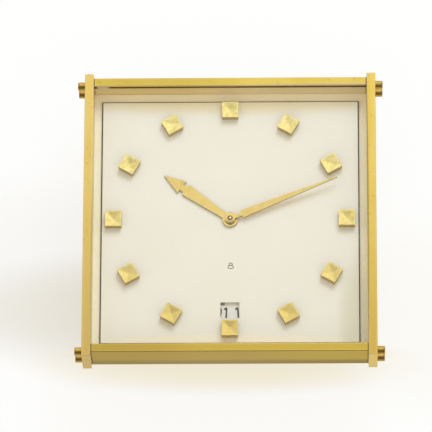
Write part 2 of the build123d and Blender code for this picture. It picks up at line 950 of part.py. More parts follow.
def centre_arbor():
    """Arbor from the hand nut to the setting knob, with the centre pinion on it."""
    front = minute_boss_front - pipe_shoulder - nut_thickness - nut_tip_length
    arbor = disc(centre, arbor_radius, front, knob_front + knob_length / 2 - front)
    toward = aim(centre, intermediate_place)
    arbor += slab(
        mating(centre_pinion_teeth, intermediate_module, toward), centre_pinion_front, centre_pinion_length
    )
    return arbor


def centre_wheel():
    """Wheel behind the centre pinion, which turns once an hour."""
    outline = gear(centre_wheel_teeth, centre_module, third_angle)
    outline -= crossings(centre_wheel_teeth * centre_module / 2)
    outline -= Circle(arbor_radius + seat_clearance)
    return slab(outline, centre_wheel_front, centre_wheel_thickness)


def setting_knob():
    """Fluted knob that turns the hands."""
    outline = toothed(
        knob_flutes, knob_radius - knob_flute_depth, knob_radius, knob_flute_share, knob_flute_share / 2, 0
    )
    knob = slab(outline, knob_front, knob_length)
    bore_depth = knob_length / 2 + end_play
    return knob - disc(centre, arbor_radius + seat_clearance, knob_front, bore_depth)


def barrel_drum():
    """Drum for the mainspring, with the great wheel round its rear end."""
    toward = aim(barrel_place, intermediate_place)
    wheel = Pos(*barrel_place) * gear(great_wheel_teeth, great_module, toward)
    drum = slab(wheel, great_wheel_front, great_wheel_thickness)
    drum += tube(barrel_place, barrel_radius, barrel_radius - barrel_wall, barrel_front, barrel_depth)
    bore = winding_arbor_radius + running_clearance
    return drum - hole(barrel_place, bore, great_wheel_front, great_wheel_thickness)


def barrel_cap():
    """Lid snapped into the front of the drum."""
    outer = barrel_radius - barrel_wall - seat_clearance
    return tube(
        barrel_place, outer, winding_arbor_radius + running_clearance, barrel_front, barrel_cap_thickness
    )


def mainspring():
    """Coiled spring inside the drum."""
    outer = barrel_radius - barrel_wall - seat_clearance
    inner = outer - spring_thickness - spring_half_turns * spring_pitch / 2
    outline = spiral(inner, spring_pitch, spring_thickness, spring_half_turns)
    front = barrel_front + barrel_cap_thickness + spring_side_gap
    back = great_wheel_front - spring_side_gap
    return slab(Pos(*barrel_place) * outline, front, back - front)


def winding_arbor():
    """Stepped arbor through the barrel, square behind for the ratchet and the key."""
    hub_front = barrel_front + barrel_cap_thickness + end_play
    hub_back = great_wheel_front - end_play
    arbor = disc(
        barrel_place, winding_front_pivot_radius, front_plate_front, barrel_front - front_plate_front
    )
    body_front = front_plate_back + end_play
    body_back = rear_plate_front - end_play
    arbor += disc(barrel_place, winding_arbor_radius, body_front, body_back - body_front)
    arbor += disc(barrel_place, winding_hub_radius, hub_front, hub_back - hub_front)
    arbor += disc(
        barrel_place, winding_rear_pivot_radius, body_back, rear_plate_back + end_play - body_back
    )
    square = Pos(*barrel_place) * Rectangle(winding_square, winding_square)
    arbor += slab(square, rear_plate_back, key_front + key_socket_depth - end_play - rear_plate_back)
    return arbor


def ratchet_wheel():
    """Saw-toothed wheel on the square of the winding arbor."""
    pitch = 360 / ratchet_teeth
    points = []
    for index in range(ratchet_teeth):
        points.append(polar(ratchet_tip_radius - ratchet_tooth_height, index * pitch))
        points.append(polar(ratchet_tip_radius, index * pitch))
    side = winding_square + 2 * seat_clearance
    outline = make_face(Polyline(*points, close=True)) - Rectangle(side, side)
    wheel = slab(Pos(*barrel_place) * outline, ratchet_front, ratchet_thickness)
    collar = tube(barrel_place, winding_hub_radius, winding_square, rear_plate_back + end_play, ratchet_gap)
    return wheel + collar


def click():
    """Pawl on a pin, drawn as it rides over the tip of a ratchet tooth."""
    back_to_ratchet = click_angle + 180
    beak_length = click_distance - ratchet_tip_radius - click_beak_gap
    beak = Pos(beak_length / 2, 0) * Rectangle(beak_length, click_width)
    tail = Pos(-click_tail_length / 2, 0) * Rectangle(click_tail_length, click_width)
    outline = Rot(0, 0, back_to_ratchet) * (beak + tail + Circle(click_boss_radius))
    outline -= Circle(click_pin_radius + running_clearance)
    return slab(Pos(*click_place) * outline, ratchet_front, ratchet_thickness)


def click_pin():
    """Pin of the click, riveted in the rear plate."""
    length = ratchet_front + ratchet_thickness + end_play - rear_plate_front
    pin = disc(click_place, click_pin_radius, rear_plate_front, length)
    pin += disc(click_place, click_boss_radius, rear_plate_back, ratchet_gap - end_play)
    return pin


def click_spring():
    """Leaf spring that bears on the side of the click's tail, with its foot on the plate."""
    tail = polar(click_tail_length, click_angle)
    side = click_width / 2 + click_spring_gap + click_spring_thickness / 2
    place = Pos(click_place[0] + tail[0] / 2, click_place[1] + tail[1] / 2) * Rot(0, 0, click_angle)
    leaf = Pos(click_spring_length / 2, side) * Rectangle(click_spring_length, click_spring_thickness)
    foot = Pos(click_spring_length, side) * Circle(click_pin_radius)
    body = slab(place * (leaf + foot), ratchet_front, ratchet_thickness)
    return body + slab(place * foot, rear_plate_back, ratchet_gap)


def winding_key():
    """Key with a round barrel and a waisted pair of wings."""
    side = winding_square + 2 * seat_clearance
    barrel = disc(barrel_place, key_barrel_radius, key_front, key_barrel_length)
    barrel -= slab(Pos(*barrel_place) * Rectangle(side, side), key_front, key_socket_depth)
    wing_front = key_front + key_barrel_length - key_waist
    wing = Rectangle(key_wing_span - key_wing_height, key_waist)
    for side in (-1, 1):
        wing += Pos(side * (key_wing_span - key_wing_height) / 2, 0) * Circle(key_wing_height / 2)
    plane = Plane(
        origin=(barrel_place[0], front_y + wing_front + key_wing_height / 2, axis_height + barrel_place[1]),
        x_dir=(1, 0, 0),
        z_dir=(0, 0, 1),
    )
    return barrel + extrude(plane * wing, amount=key_wing_thickness / 2, both=True)


def intermediate_wheel():
    """Pinion driven by the great wheel, and the wheel that drives the centre pinion."""
    place = Pos(*intermediate_place)
    arbor_length = rear_plate_back - front_plate_front
    body = disc(intermediate_place, train_pivot_radius, front_plate_front, arbor_length)
    body_front = front_plate_back + end_play
    body += disc(intermediate_place, train_arbor_radius, body_front, movement_plate_gap - 2 * end_play)
    to_barrel = aim(intermediate_place, barrel_place)
    pinion_length = great_wheel_thickness + 2 * intermediate_pinion_overlap
    pinion = place * mating(intermediate_pinion_teeth, great_module, to_barrel)
    body += slab(pinion, great_wheel_front - intermediate_pinion_overlap, pinion_length)
    to_centre = aim(intermediate_place, centre)
    outline = gear(intermediate_wheel_teeth, intermediate_module, to_centre)
    outline -= crossings(intermediate_wheel_teeth * intermediate_module / 2)
    return body + slab(place * outline, intermediate_front, intermediate_wheel_thickness)


def third_wheel():
    """Pinion driven by the centre wheel, and the wheel that drives the escapement."""
    place = Pos(*third_place)
    body = disc(third_place, third_pivot_radius, front_plate_front, rear_plate_back - front_plate_front)
    body_front = front_plate_back + end_play
    body += disc(third_place, third_arbor_radius, body_front, movement_plate_gap - 2 * end_play)
    pinion_length = centre_wheel_thickness + 2 * third_pinion_overlap
    pinion = place * mating(third_pinion_teeth, centre_module, third_angle + 180)
    body += slab(pinion, centre_wheel_front - third_pinion_overlap, pinion_length)
    outline = gear(third_wheel_teeth, third_module, 0) - crossings(third_wheel_radius)
    return body + slab(place * outline, third_wheel_front, third_wheel_thickness)


def escapement_can():
    """Round can of the lever escapement, slotted for the rim of the third wheel."""
    can = disc(escapement_place, escapement_radius, front_plate_back, escapement_height)
    rim = third_wheel_radius + addendum_share * third_module + rim_slot_gap
    slot_width = third_wheel_thickness + 2 * rim_slot_gap
    can -= disc(third_place, rim, third_wheel_front - rim_slot_gap, slot_width)
    jewel_bore = jewel_depth + end_play
    return can - disc(
        escapement_place, staff_radius + running_clearance, escapement_back - jewel_bore, jewel_bore
    )


def balance_wheel():
    """Balance with two arms on its staff."""
    rim = Circle(balance_radius) - Circle(balance_radius - balance_rim)
    arms = Rectangle(2 * balance_radius - balance_rim, balance_arm_width)
    outline = Pos(*escapement_place) * (rim + arms + Circle(staff_hub_radius))
    wheel = slab(outline, balance_front, balance_thickness)
    staff_front = escapement_back - jewel_depth
    staff_length = cock_front + cock_thickness - staff_front
    return wheel + disc(escapement_place, staff_radius, staff_front, staff_length)


def hairspring():
    """Flat spiral above the balance, pinned to its staff."""
    inner = staff_radius + seat_clearance
    outline = spiral(inner, hairspring_pitch, hairspring_thickness, hairspring_half_turns)
    return slab(Pos(*escapement_place) * outline, hairspring_front, hairspring_height)


def balance_cock():
    """Bridge from a post on the can to the rear pivot of the balance."""
    arm = Pos(cock_post_distance / 2, 0) * Rectangle(cock_post_distance, cock_width)
    arm += Circle(cock_width / 2)
    arm += Pos(cock_post_distance, 0) * Circle(cock_width / 2)
    arm -= Circle(staff_radius + running_clearance)
    place = Pos(*escapement_place) * Rot(0, 0, cock_angle)
    cock = slab(place * arm, cock_front, cock_thickness)
    post = Pos(cock_post_distance, 0) * Circle(cock_post_radius)
    return cock + slab(place * post, escapement_back, cock_lift)


nodes = {
    "left_side_plate": side_plate(-1),
    "right_side_plate": side_plate(1),
    "top_plate": cross_plate(1),
    "bottom_plate": cross_plate(-1),
    "corner_screws": group([corner_screw(spot) for spot in corner_spots()]),
    "front_glass": front_glass(),
    "glass_channel": glass_channel(),
    "dial_plate": dial_plate(),
    "dial_seal": dial_seal(),
    "dial_mount": dial_mount(),
    "hour_hand": hour_hand(),
    "minute_hand": minute_hand(),
    "hand_nut": hand_nut(),
    "date_disc": date_disc(),
    "cannon_pinion": cannon_pinion(),
    "hour_wheel": hour_wheel(),
    "minute_wheel": minute_wheel(),
    "date_wheel": date_wheel(),
    "motion_studs": motion_studs(),
    "movement_spacer": movement_spacer(),
    "movement_front_plate": movement_front_plate(),
    "movement_rear_plate": movement_rear_plate(),
    "movement_pillars": group([pillar(angle) for angle in pillar_angles]),
    "pillar_screws": group([pillar_screw(angle) for angle in pillar_angles]),
    "movement_screws": group([movement_screw(angle) for angle in movement_screw_angles]),
    "centre_arbor": centre_arbor(),
    "centre_wheel": centre_wheel(),
    "setting_knob": setting_knob(),
    "barrel_drum": barrel_drum(),
    "barrel_cap": barrel_cap(),
    "mainspring": mainspring(),
    "winding_arbor": winding_arbor(),
    "ratchet_wheel": ratchet_wheel(),
    "click": click(),
    "click_pin": click_pin(),
    "click_spring": click_spring(),
    "winding_key": winding_key(),
    "intermediate_wheel": intermediate_wheel(),
    "third_wheel": third_wheel(),
    "escapement_can": escapement_can(),
    "balance_wheel": balance_wheel(),
    "hairspring": hairspring(),
    "balance_cock": balance_cock(),
    "mounting_blocks": group([mounting_block(place) for place in block_places()]),
    "block_screws": group([block_screw(place) for place in block_places()]),
    "back_panel": back_panel(),
    "movement_cover": movement_cover(),
    "cover_screws": group([cover_screw(angle) for angle in cover_screw_angles]),
}
for hour in range(1, marker_count + 1):
    nodes[f"hour_marker_{hour:02d}"] = hour_marker(hour)

os.makedirs("parts", exist_ok=True)
for name, shape in nodes.items():
    export_step(shape, f"parts/{name}.step")
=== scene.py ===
import logging
import math
from dataclasses import dataclass
from enum import Enum

import bmesh
import bpy
from mathutils import Matrix, Vector


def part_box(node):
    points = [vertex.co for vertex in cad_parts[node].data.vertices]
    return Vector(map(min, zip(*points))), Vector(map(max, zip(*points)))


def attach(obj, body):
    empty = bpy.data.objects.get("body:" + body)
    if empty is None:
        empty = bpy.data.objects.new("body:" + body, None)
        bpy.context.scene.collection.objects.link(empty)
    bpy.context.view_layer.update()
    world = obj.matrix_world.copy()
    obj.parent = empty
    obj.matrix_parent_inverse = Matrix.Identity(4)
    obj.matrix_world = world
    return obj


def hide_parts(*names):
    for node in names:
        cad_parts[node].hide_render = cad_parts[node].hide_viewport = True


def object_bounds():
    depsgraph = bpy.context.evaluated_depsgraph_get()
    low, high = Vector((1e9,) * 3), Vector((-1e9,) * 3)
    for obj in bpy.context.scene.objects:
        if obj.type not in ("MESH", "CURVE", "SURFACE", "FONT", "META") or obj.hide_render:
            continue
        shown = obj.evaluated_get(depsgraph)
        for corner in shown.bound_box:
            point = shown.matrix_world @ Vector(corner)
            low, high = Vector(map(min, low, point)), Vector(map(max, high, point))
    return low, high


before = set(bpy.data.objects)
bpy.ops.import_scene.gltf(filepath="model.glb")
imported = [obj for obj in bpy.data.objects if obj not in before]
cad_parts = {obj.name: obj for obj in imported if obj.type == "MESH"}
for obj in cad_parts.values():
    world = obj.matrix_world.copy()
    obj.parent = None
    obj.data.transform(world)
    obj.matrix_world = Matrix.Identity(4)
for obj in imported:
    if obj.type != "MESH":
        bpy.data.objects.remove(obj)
cad_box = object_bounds()

# A square brass desk clock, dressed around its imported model. Lengths are metres, +Z is up
# and the dial looks towards -Y. Patterns are given per millimetre, and the places of zones
# and stains in millimetres from the hands' axis at the front edge of the side plates.
Piece = bpy.types.Object
Material = bpy.types.Material
Socket = bpy.types.NodeSocket
Triple = tuple[float, float, float]
Range = tuple[float, float]
MM = 0.001
ORIGIN: Triple = (0.0, 0.0, 0.0)
ONES: Triple = (1.0, 1.0, 1.0)
FORWARD: Triple = (0.0, -1.0, 0.0)
QUARTER_TURN = math.radians(90.0)
FULL_CIRCLE = 360.0
# Mean of a noise pattern
MEAN = 0.5
# Half size of a stain that runs along a whole piece
ALONG_MM = 1000.0
# Heights between which brass is painted darker towards its foot as painted shade, and the share of each
# colour lost there
FOOT_TO_TOP_MM: Range = (-110.0, 60.0)
BRASS_PAINTED_FOOT_SHADE: Triple = (0.18, 0.225, 0.11)
log = logging.getLogger("desk_clock")


@dataclass(eq=False)
class Value:
    """A number on a socket, whose arithmetic adds Math nodes to its finish."""

    paint: "Paint"
    socket: Socket

    def join(self, operation: str, first: "Value | float", second: "Value | float" = 0.0) -> "Value":
        """Result of one Math node, by the name of its operation."""
        node = self.paint.node("ShaderNodeMath", {0: first, 1: second}, operation=operation)
        return Value(self.paint, node.outputs[0])

    def __add__(self, other: "Value | float") -> "Value":
        """Sum of two numbers."""
        return self.join("ADD", self, other)

    __radd__ = __add__

    def __sub__(self, other: "Value | float") -> "Value":
        """Difference of two numbers."""
        return self.join("SUBTRACT", self, other)

    def __rsub__(self, other: float) -> "Value":
        """Difference with this number second."""
        return self.join("SUBTRACT", other, self)

    def __mul__(self, other: "Value | float") -> "Value":
        """Product of two numbers."""
        return self.join("MULTIPLY", self, other)

    __rmul__ = __mul__

    def __pow__(self, other: "Value | float") -> "Value":
        """This number raised to a power."""
        return self.join("POWER", self, other)

    def __abs__(self) -> "Value":
        """Size of the number without its sign."""
        return self.join("ABSOLUTE", self)

    def least(self, other: "Value | float") -> "Value":
        """The smaller of two numbers."""
        return self.join("MINIMUM", self, other)

    def most(self, other: "Value | float") -> "Value":
        """The larger of two numbers."""
        return self.join("MAXIMUM", self, other)

    def ramp(self, low: float, high: float) -> "Value":
        """Rise smoothly from 0 at one value to 1 at another.

        Args:
            low: Value where the ramp starts.
            high: Value where it ends.

        Returns:
            The ramp's height.
        """
        inputs = {0: self, 1: low, 2: high}
        node = self.paint.node("ShaderNodeMapRange", inputs, interpolation_type="SMOOTHSTEP")
        return Value(self.paint, node.outputs[0])


class Paint:
    """A procedural finish or room under construction."""

    def __init__(self, owner: Material | bpy.types.World) -> None:
        """Start without nodes.

        Args:
            owner: Material or room that the nodes belong to.
        """
        owner.use_nodes = True
        self.owner = owner
        self.tree = owner.node_tree
        self.tree.nodes.clear()

    @classmethod
    def named(cls, name: str) -> "Paint":
        """Start a material of this name."""
        return cls(bpy.data.materials.new(name))

    def node(self, kind: str, inputs: dict | None = None, **settings: object) -> bpy.types.Node:
        """Add a node, with its settings set before its sockets.

        Args:
            kind: Node type.
            inputs: Numbers, colours or links of its sockets, by name or place.
            settings: Values of the node's own properties.

        Returns:
            The new node.
        """
        node = self.tree.nodes.new(kind)
        for key, value in settings.items():
            setattr(node, key, value)
        for key, value in (inputs or {}).items():
            source = value.socket if isinstance(value, Value) else value
            if isinstance(source, Socket):
                self.tree.links.new(source, node.inputs[key])
            else:
                node.inputs[key].default_value = source
        return node

    def place(self, per_mm: Triple, centre: Vector | None = None) -> Socket:
        """Coordinates of the piece, stretched along its axes.

        Args:
            per_mm: Pattern steps in one millimetre along X, Y and Z.
            centre: Point that becomes the pattern's origin.

        Returns:
            The stretched coordinates.
        """
        scale = Vector(per_mm) / MM
        shift = -Vector(scale * (centre or Vector()))
        point = self.node("ShaderNodeTexCoord").outputs["Object"]
        inputs = {"Vector": point, "Scale": scale, "Location": shift}
        return self.node("ShaderNodeMapping", inputs).outputs[0]

    def axes(self, centre: Vector) -> list[Value]:
        """X, Y and Z of the piece in millimetres from a centre."""
        split = self.node("ShaderNodeSeparateXYZ", {0: self.place(ONES, centre)})
        return [Value(self, output) for output in split.outputs]

    def noise(self, per_mm: Triple, detail: float, vector: Socket | None = None) -> Value:
        """Soft random pattern about 0.5, by its steps in a millimetre, or along given coordinates."""
        inputs = {"Vector": vector or self.place(per_mm), "Scale": 1.0, "Detail": detail}
        return Value(self, self.node("ShaderNodeTexNoise", inputs).outputs[0])

    def even_noise(self, per_mm: float, detail: float) -> Value:
        """Soft random pattern with the same steps along X, Y and Z."""
        return self.noise((per_mm,) * 3, detail)

    def blend(self, factor: Value, first: Triple | Socket, second: Triple) -> Socket:
        """Mix two colours.

        Args:
            factor: Share of the second colour.
            first: Triple, or socket of a colour, at 0.
            second: Triple at 1.

        Returns:
            The mixed colour.
        """
        start = first if isinstance(first, Socket) else (*first, 1.0)
        inputs = {0: factor, 6: start, 7: (*second, 1.0)}
        return self.node("ShaderNodeMix", inputs, data_type="RGBA", clamp_factor=True).outputs[2]

    def bump(self, height: Value, depth_mm: float) -> Socket:
        """Normal tilted by a height pattern from 0 to 1, of a depth in millimetres."""
        inputs = {"Height": height, "Distance": depth_mm * MM, "Strength": 1.0}
        return self.node("ShaderNodeBump", inputs).outputs[0]

    def facing(self) -> Value:
        """How far the surface looks along Y.

        Returns:
            0 on a side wall, 1 on a flat front or back.
        """
        normal = self.node("ShaderNodeTexCoord").outputs["Normal"]
        split = self.node("ShaderNodeSeparateXYZ", {0: normal})
        return abs(Value(self, split.outputs[1]))

    def surface(self, inputs: dict) -> Material:
        """Close the finish with one Principled shader.

        Args:
            inputs: Values or links of the shader's sockets.

        Returns:
            The finished material.
        """
        shader = self.node("ShaderNodeBsdfPrincipled", inputs)
        self.node("ShaderNodeOutputMaterial", {0: shader.outputs[0]})
        return self.owner


class Grain(Enum):
    """Direction of the grinding lines on a metal piece, as the pattern's steps along X, Y and Z."""

    ACROSS = (0.02, 1.0, 1.0)
    DEEP = (1.0, 0.02, 1.0)
    UPRIGHT = (1.0, 1.0, 0.02)
    EVEN = ONES
    ROUND = ORIGIN

    def lines(self, paint: Paint, per_mm: float, axis: Vector, detail: float) -> Value:
        """Pattern of the grinding lines.

        Args:
            paint: The finish under construction.
            per_mm: Lines in one millimetre.
            axis: Centre of round grinding.
            detail: Number of finer layers.

        Returns:
            A number about 0.5.
        """
        if self is not Grain.ROUND:
            return paint.noise(tuple(per_mm * share for share in self.value), detail)
        across, _, up = paint.axes(axis)
        reach = (across * across + up * up) ** 0.5
        spot = paint.node("ShaderNodeCombineXYZ", {0: reach * per_mm}).outputs[0]
        return paint.noise(ONES, detail, spot)


class Way(Enum):
    """Direction in which a finish is measured."""

    ACROSS = 0
    DEEP = 1
    UP = 2


@dataclass(frozen=True)
class Wear:
    """Rubbed edges of a plate and its twin, found from the distance to the two nearest faces."""

    middle: Vector
    half: Vector
    twin: Way
    width_mm: float = 0.9
    fade_shares: Range = (-0.3, 0.6)
    ragged_per_mm: float = 0.5
    colour_share: float = 0.35
    colour_kept: float = 0.72
    polish: float = 0.08

    @classmethod
    def of(cls, node: str, twin: Way) -> "Wear":
        """Wear of a plate of the imported model, whose twin lies across the hands' axis in one direction."""
        low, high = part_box(node)
        return cls((low + high) / 2, (high - low) / 2, twin)

    def mask(self, paint: Paint, axis: Vector) -> Value:
        """Share of rubbed metal.

        Args:
            paint: The finish under construction.
            axis: Hands' axis, about which a pair of plates mirrors.

        Returns:
            1 on an edge, 0 inside a face.
        """
        walls = []
        for way, value, offset, half in zip(Way, paint.axes(axis), self.middle - axis, self.half):
            if way is self.twin:
                value = abs(value)
                offset = abs(offset)
            walls.append(half / MM - abs(value - offset / MM))
        low = walls[0].least(walls[1])
        high = walls[0].most(walls[1])
        second = low.most(high.least(walls[2]))
        ragged = paint.even_noise(self.ragged_per_mm, detail=4.0) * self.width_mm
        fade = (share * self.width_mm for share in self.fade_shares)
        return 1.0 - (second - ragged).ramp(*fade)


@dataclass(frozen=True)
class Zone:
    """Part of a finish with a colour of its own, inside or outside a distance from the hands' axis."""

    way: Way
    limit_mm: float
    outside: bool
    colour: Triple
    roughness: float = 0.0
    dull: float = 0.0
    edge_mm: float = 0.1

    def mask(self, paint: Paint, axis: Vector) -> Value:
        """Share of the zone's colour.

        Args:
            paint: The finish under construction.
            axis: Point on the hands' axis at the front edge.

        Returns:
            1 in the zone, 0 elsewhere.
        """
        reach = abs(paint.axes(axis)[self.way.value])
        if self.outside:
            return reach.ramp(self.limit_mm - 2 * self.edge_mm, self.limit_mm - self.edge_mm)
        return 1.0 - reach.ramp(self.limit_mm + self.edge_mm, self.limit_mm + 2 * self.edge_mm)


@dataclass(frozen=True)
class Stain:
    """Patch of another colour, such as old tarnishing, painted shade or painted light, strongest in its
    middle.
    """

    middle_mm: Triple
    half_mm: Triple
    colour: Triple
    share: float = 0.8
    core: float = 0.5
    ragged: float = 1.0
    roughness: float = 0.1
    dull: float = 0.0
    rim: float = 1.3
    ragged_per_mm: float = 0.9

    @classmethod
    def soft(
        cls, middle_mm: Triple, half_mm: Triple, colour: Triple, share: float, core: float = 0.0
    ) -> "Stain":
        """Patch without a ragged edge, which fades from its core to its rim."""
        return cls(middle_mm, half_mm, colour, share, core, ragged=0.0)

    @classmethod
    def line(cls, middle_mm: Triple, half_mm: Triple, colour: Triple, share: float) -> "Stain":
        """Dark line along a joint, or painted shade along an edge, a little ragged."""
        return cls(middle_mm, half_mm, colour, share, core=0.3, ragged=0.2)

    def mask(self, paint: Paint, axis: Vector) -> Value:
        """Share of the patch's colour.

        Args:
            paint: The finish under construction.
            axis: Point on the hands' axis at the front edge.

        Returns:
            The share in the patch, 0 elsewhere.
        """
        spread = (paint.even_noise(self.ragged_per_mm, detail=3.0) - MEAN) * self.ragged
        for value, middle, half in zip(paint.axes(axis), self.middle_mm, self.half_mm):
            offset = (value - middle) * (1.0 / half)
            spread = spread + offset * offset
        return (1.0 - spread.ramp(self.core, self.rim)) * self.share


@dataclass(frozen=True)
class Brass:
    """Ground and lacquered brass, with grinding lines, soft clouds and a little tarnishing, and for some
    pieces painted shade on the side walls and towards the foot.
    """

    name: str
    bright: Triple
    deep: Triple
    grain: Grain = Grain.EVEN
    roughness: float = 0.34
    line_depth_mm: float = 0.004
    lines_per_mm: float = 5.0
    tarnish: Triple = (0.30, 0.19, 0.06)
    tarnish_share: float = 0.22
    spots_per_mm: float = 0.42
    clouds_per_mm: float = 0.045
    dark_sides: float = 0.0
    foot_shade: Triple | None = None
    bands_per_mm: float = 0.35
    band_share: float = 0.4
    band_depth_share: float = 0.3
    tone_range: Range = (0.36, 0.64)
    spot_range: Range = (0.60, 0.74)
    side_range: Range = (0.35, 0.75)
    line_roughness: float = 0.14
    band_roughness: float = 0.08
    spot_roughness: float = 0.08

    @classmethod
    def plate(cls, name: str, bright: Triple, deep: Triple, grain: Grain) -> "Brass":
        """Brass of an outer plate, painted darker towards the foot of the clock as painted shade."""
        return cls(name, bright, deep, grain, foot_shade=BRASS_PAINTED_FOOT_SHADE)

    def paint(self, axis: Vector, wear: Wear | None = None, *parts: Zone | Stain) -> Material:
        """Mix the finish.

        Args:
            axis: Hands' axis, the centre of round grinding.
            wear: Rubbed edges, on plates.
            parts: Zones and stains of another colour.

        Returns:
            The finished material.
        """
        paint = Paint.named(self.name)
        fine = self.grain.lines(paint, self.lines_per_mm, axis, detail=3.0)
        bands = self.grain.lines(paint, self.bands_per_mm, axis, detail=4.0)
        clouds = paint.even_noise(self.clouds_per_mm, detail=4.0)
        spots = paint.even_noise(self.spots_per_mm, detail=5.0).ramp(*self.spot_range)
        tone = clouds * (1.0 - self.band_share) + bands * self.band_share
        colour = paint.blend(tone.ramp(*self.tone_range), self.deep, self.bright)
        colour = paint.blend(spots * self.tarnish_share, colour, self.tarnish)
        # Painted shade: the colour darkens towards the foot of the clock.
        if self.foot_shade is not None:
            low = 1.0 - paint.axes(axis)[Way.UP.value].ramp(*FOOT_TO_TOP_MM)
            painted_shade = tuple(share * (1.0 - loss) for share, loss in zip(self.deep, self.foot_shade))
            colour = paint.blend(low, colour, painted_shade)
        roughness = self.roughness + (fine - MEAN) * self.line_roughness
        roughness = roughness + spots * self.spot_roughness + (bands - MEAN) * self.band_roughness
        if wear is not None:
            rubbed = wear.mask(paint, axis)
            pale = tuple(1.0 - wear.colour_kept * (1.0 - share) for share in self.bright)
            colour = paint.blend(rubbed * wear.colour_share, colour, pale)
            roughness = roughness - rubbed * wear.polish
        metallic = 1.0
        for part in parts:
            share = part.mask(paint, axis)
            colour = paint.blend(share, colour, part.colour)
            roughness = roughness + share * part.roughness
            metallic = metallic - share * part.dull
        # Painted shade: the side walls take the darker tarnish colour.
        if self.dark_sides:
            side = 1.0 - paint.facing().ramp(*self.side_range)
            colour = paint.blend(side * self.dark_sides, colour, self.tarnish)
        height = fine * (1.0 - self.band_depth_share) + bands * self.band_depth_share
        return paint.surface(
            {
                "Base Color": colour,
                "Metallic": metallic,
                "Roughness": roughness,
                "Normal": paint.bump(height, self.line_depth_mm),
            }
        )


@dataclass(frozen=True)
class Lacquer:
    """Painted or printed face, silky matt, with a faint mottle."""

    name: str
    light: Triple
    shade: Triple
    roughness: float = 0.5
    mottle_per_mm: float = 0.03
    specular: float = 0.5
    grit_per_mm: float = 2.2
    grit_share: float = 0.3
    grit_depth_mm: float = 0.004
    grit_roughness: float = 0.12
    tone_range: Range = (0.34, 0.66)

    def paint(self, axis: Vector = Vector(), *parts: Zone | Stain) -> Material:
        """Mix the finish.

        Args:
            axis: Point on the hands' axis that the parts are measured from.
            parts: Zones and stains of another colour.

        Returns:
            The finished material.
        """
        paint = Paint.named(self.name)
        mottle = paint.even_noise(self.mottle_per_mm, detail=4.0)
        grit = paint.even_noise(self.grit_per_mm, detail=3.0)
        tone = mottle * (1.0 - self.grit_share) + grit * self.grit_share
        colour = paint.blend(tone.ramp(*self.tone_range), self.shade, self.light)
        for part in parts:
            colour = paint.blend(part.mask(paint, axis), colour, part.colour)
        return paint.surface(
            {
                "Base Color": colour,
                "Specular IOR Level": self.specular,
                "Roughness": self.roughness + (grit - MEAN) * self.grit_roughness,
                "Normal": paint.bump(grit, self.grit_depth_mm),
            }
        )


@dataclass(frozen=True)
class ClearGlass:
    """Polished plate glass, with a trace of haze."""

    name: str = "plate_glass"
    tint: Triple = (0.985, 0.99, 0.975)
    haze: float = 0.03
    index: float = 1.46
    mirror: Triple = (1.0, 0.88, 0.66)
    smears_per_mm: Triple = (0.03, 0.03, 0.05)
    smear_range: Range = (0.5, 0.8)
    smear_share: float = 0.4
    smear_tint: Triple = (0.96, 0.97, 0.95)

    def paint(self) -> Material:
        """Mix the finish.

        Returns:
            The finished material.
        """
        paint = Paint.named(self.name)
        smears = paint.noise(self.smears_per_mm, detail=5.0).ramp(*self.smear_range)
        return paint.surface(
            {
                "Base Color": paint.blend(smears * self.smear_share, self.tint, self.smear_tint),
                "Roughness": smears * self.haze,
                "Transmission Weight": 1.0,
                "Specular Tint": (*self.mirror, 1.0),
                "IOR": self.index,
            }
        )


@dataclass(frozen=True)
class StagePaper:
    """Pale matt paper, which shows from its front side only."""

    name: str
    tone: Triple = (0.12, 0.12, 0.12)
    shade: Triple = (0.11, 0.11, 0.11)
    roughness: float = 0.9
    light: Triple = (1.0, 1.0, 0.99)
    glow: float = 0.88
    mottle_per_mm: float = 0.004
    mottle_share: float = 0.02

    def paint(self, axis: Vector, *parts: Stain) -> Material:
        """Mix the finish.

        Args:
            axis: Point on the hands' axis that the parts are measured from.
            parts: Soft shades on the paper.

        Returns:
            The finished material.
        """
        paint = Paint.named(self.name)
        mottle = paint.even_noise(self.mottle_per_mm, detail=3.0)
        light = paint.blend(mottle * self.mottle_share, self.light, self.tone)
        for part in parts:
            light = paint.blend(part.mask(paint, axis), light, part.colour)
        inputs = {
            "Base Color": paint.blend(mottle, self.shade, self.tone),
            "Roughness": self.roughness,
            "Emission Color": light,
            "Emission Strength": self.glow,
        }
        front = paint.node("ShaderNodeBsdfPrincipled", inputs)
        clear = paint.node("ShaderNodeBsdfTransparent")
        behind = paint.node("ShaderNodeNewGeometry").outputs["Backfacing"]
        sides = {0: behind, 1: front.outputs[0], 2: clear.outputs[0]}
        mixed = paint.node("ShaderNodeMixShader", sides)
        paint.node("ShaderNodeOutputMaterial", {0: mixed.outputs[0]})
        return paint.owner


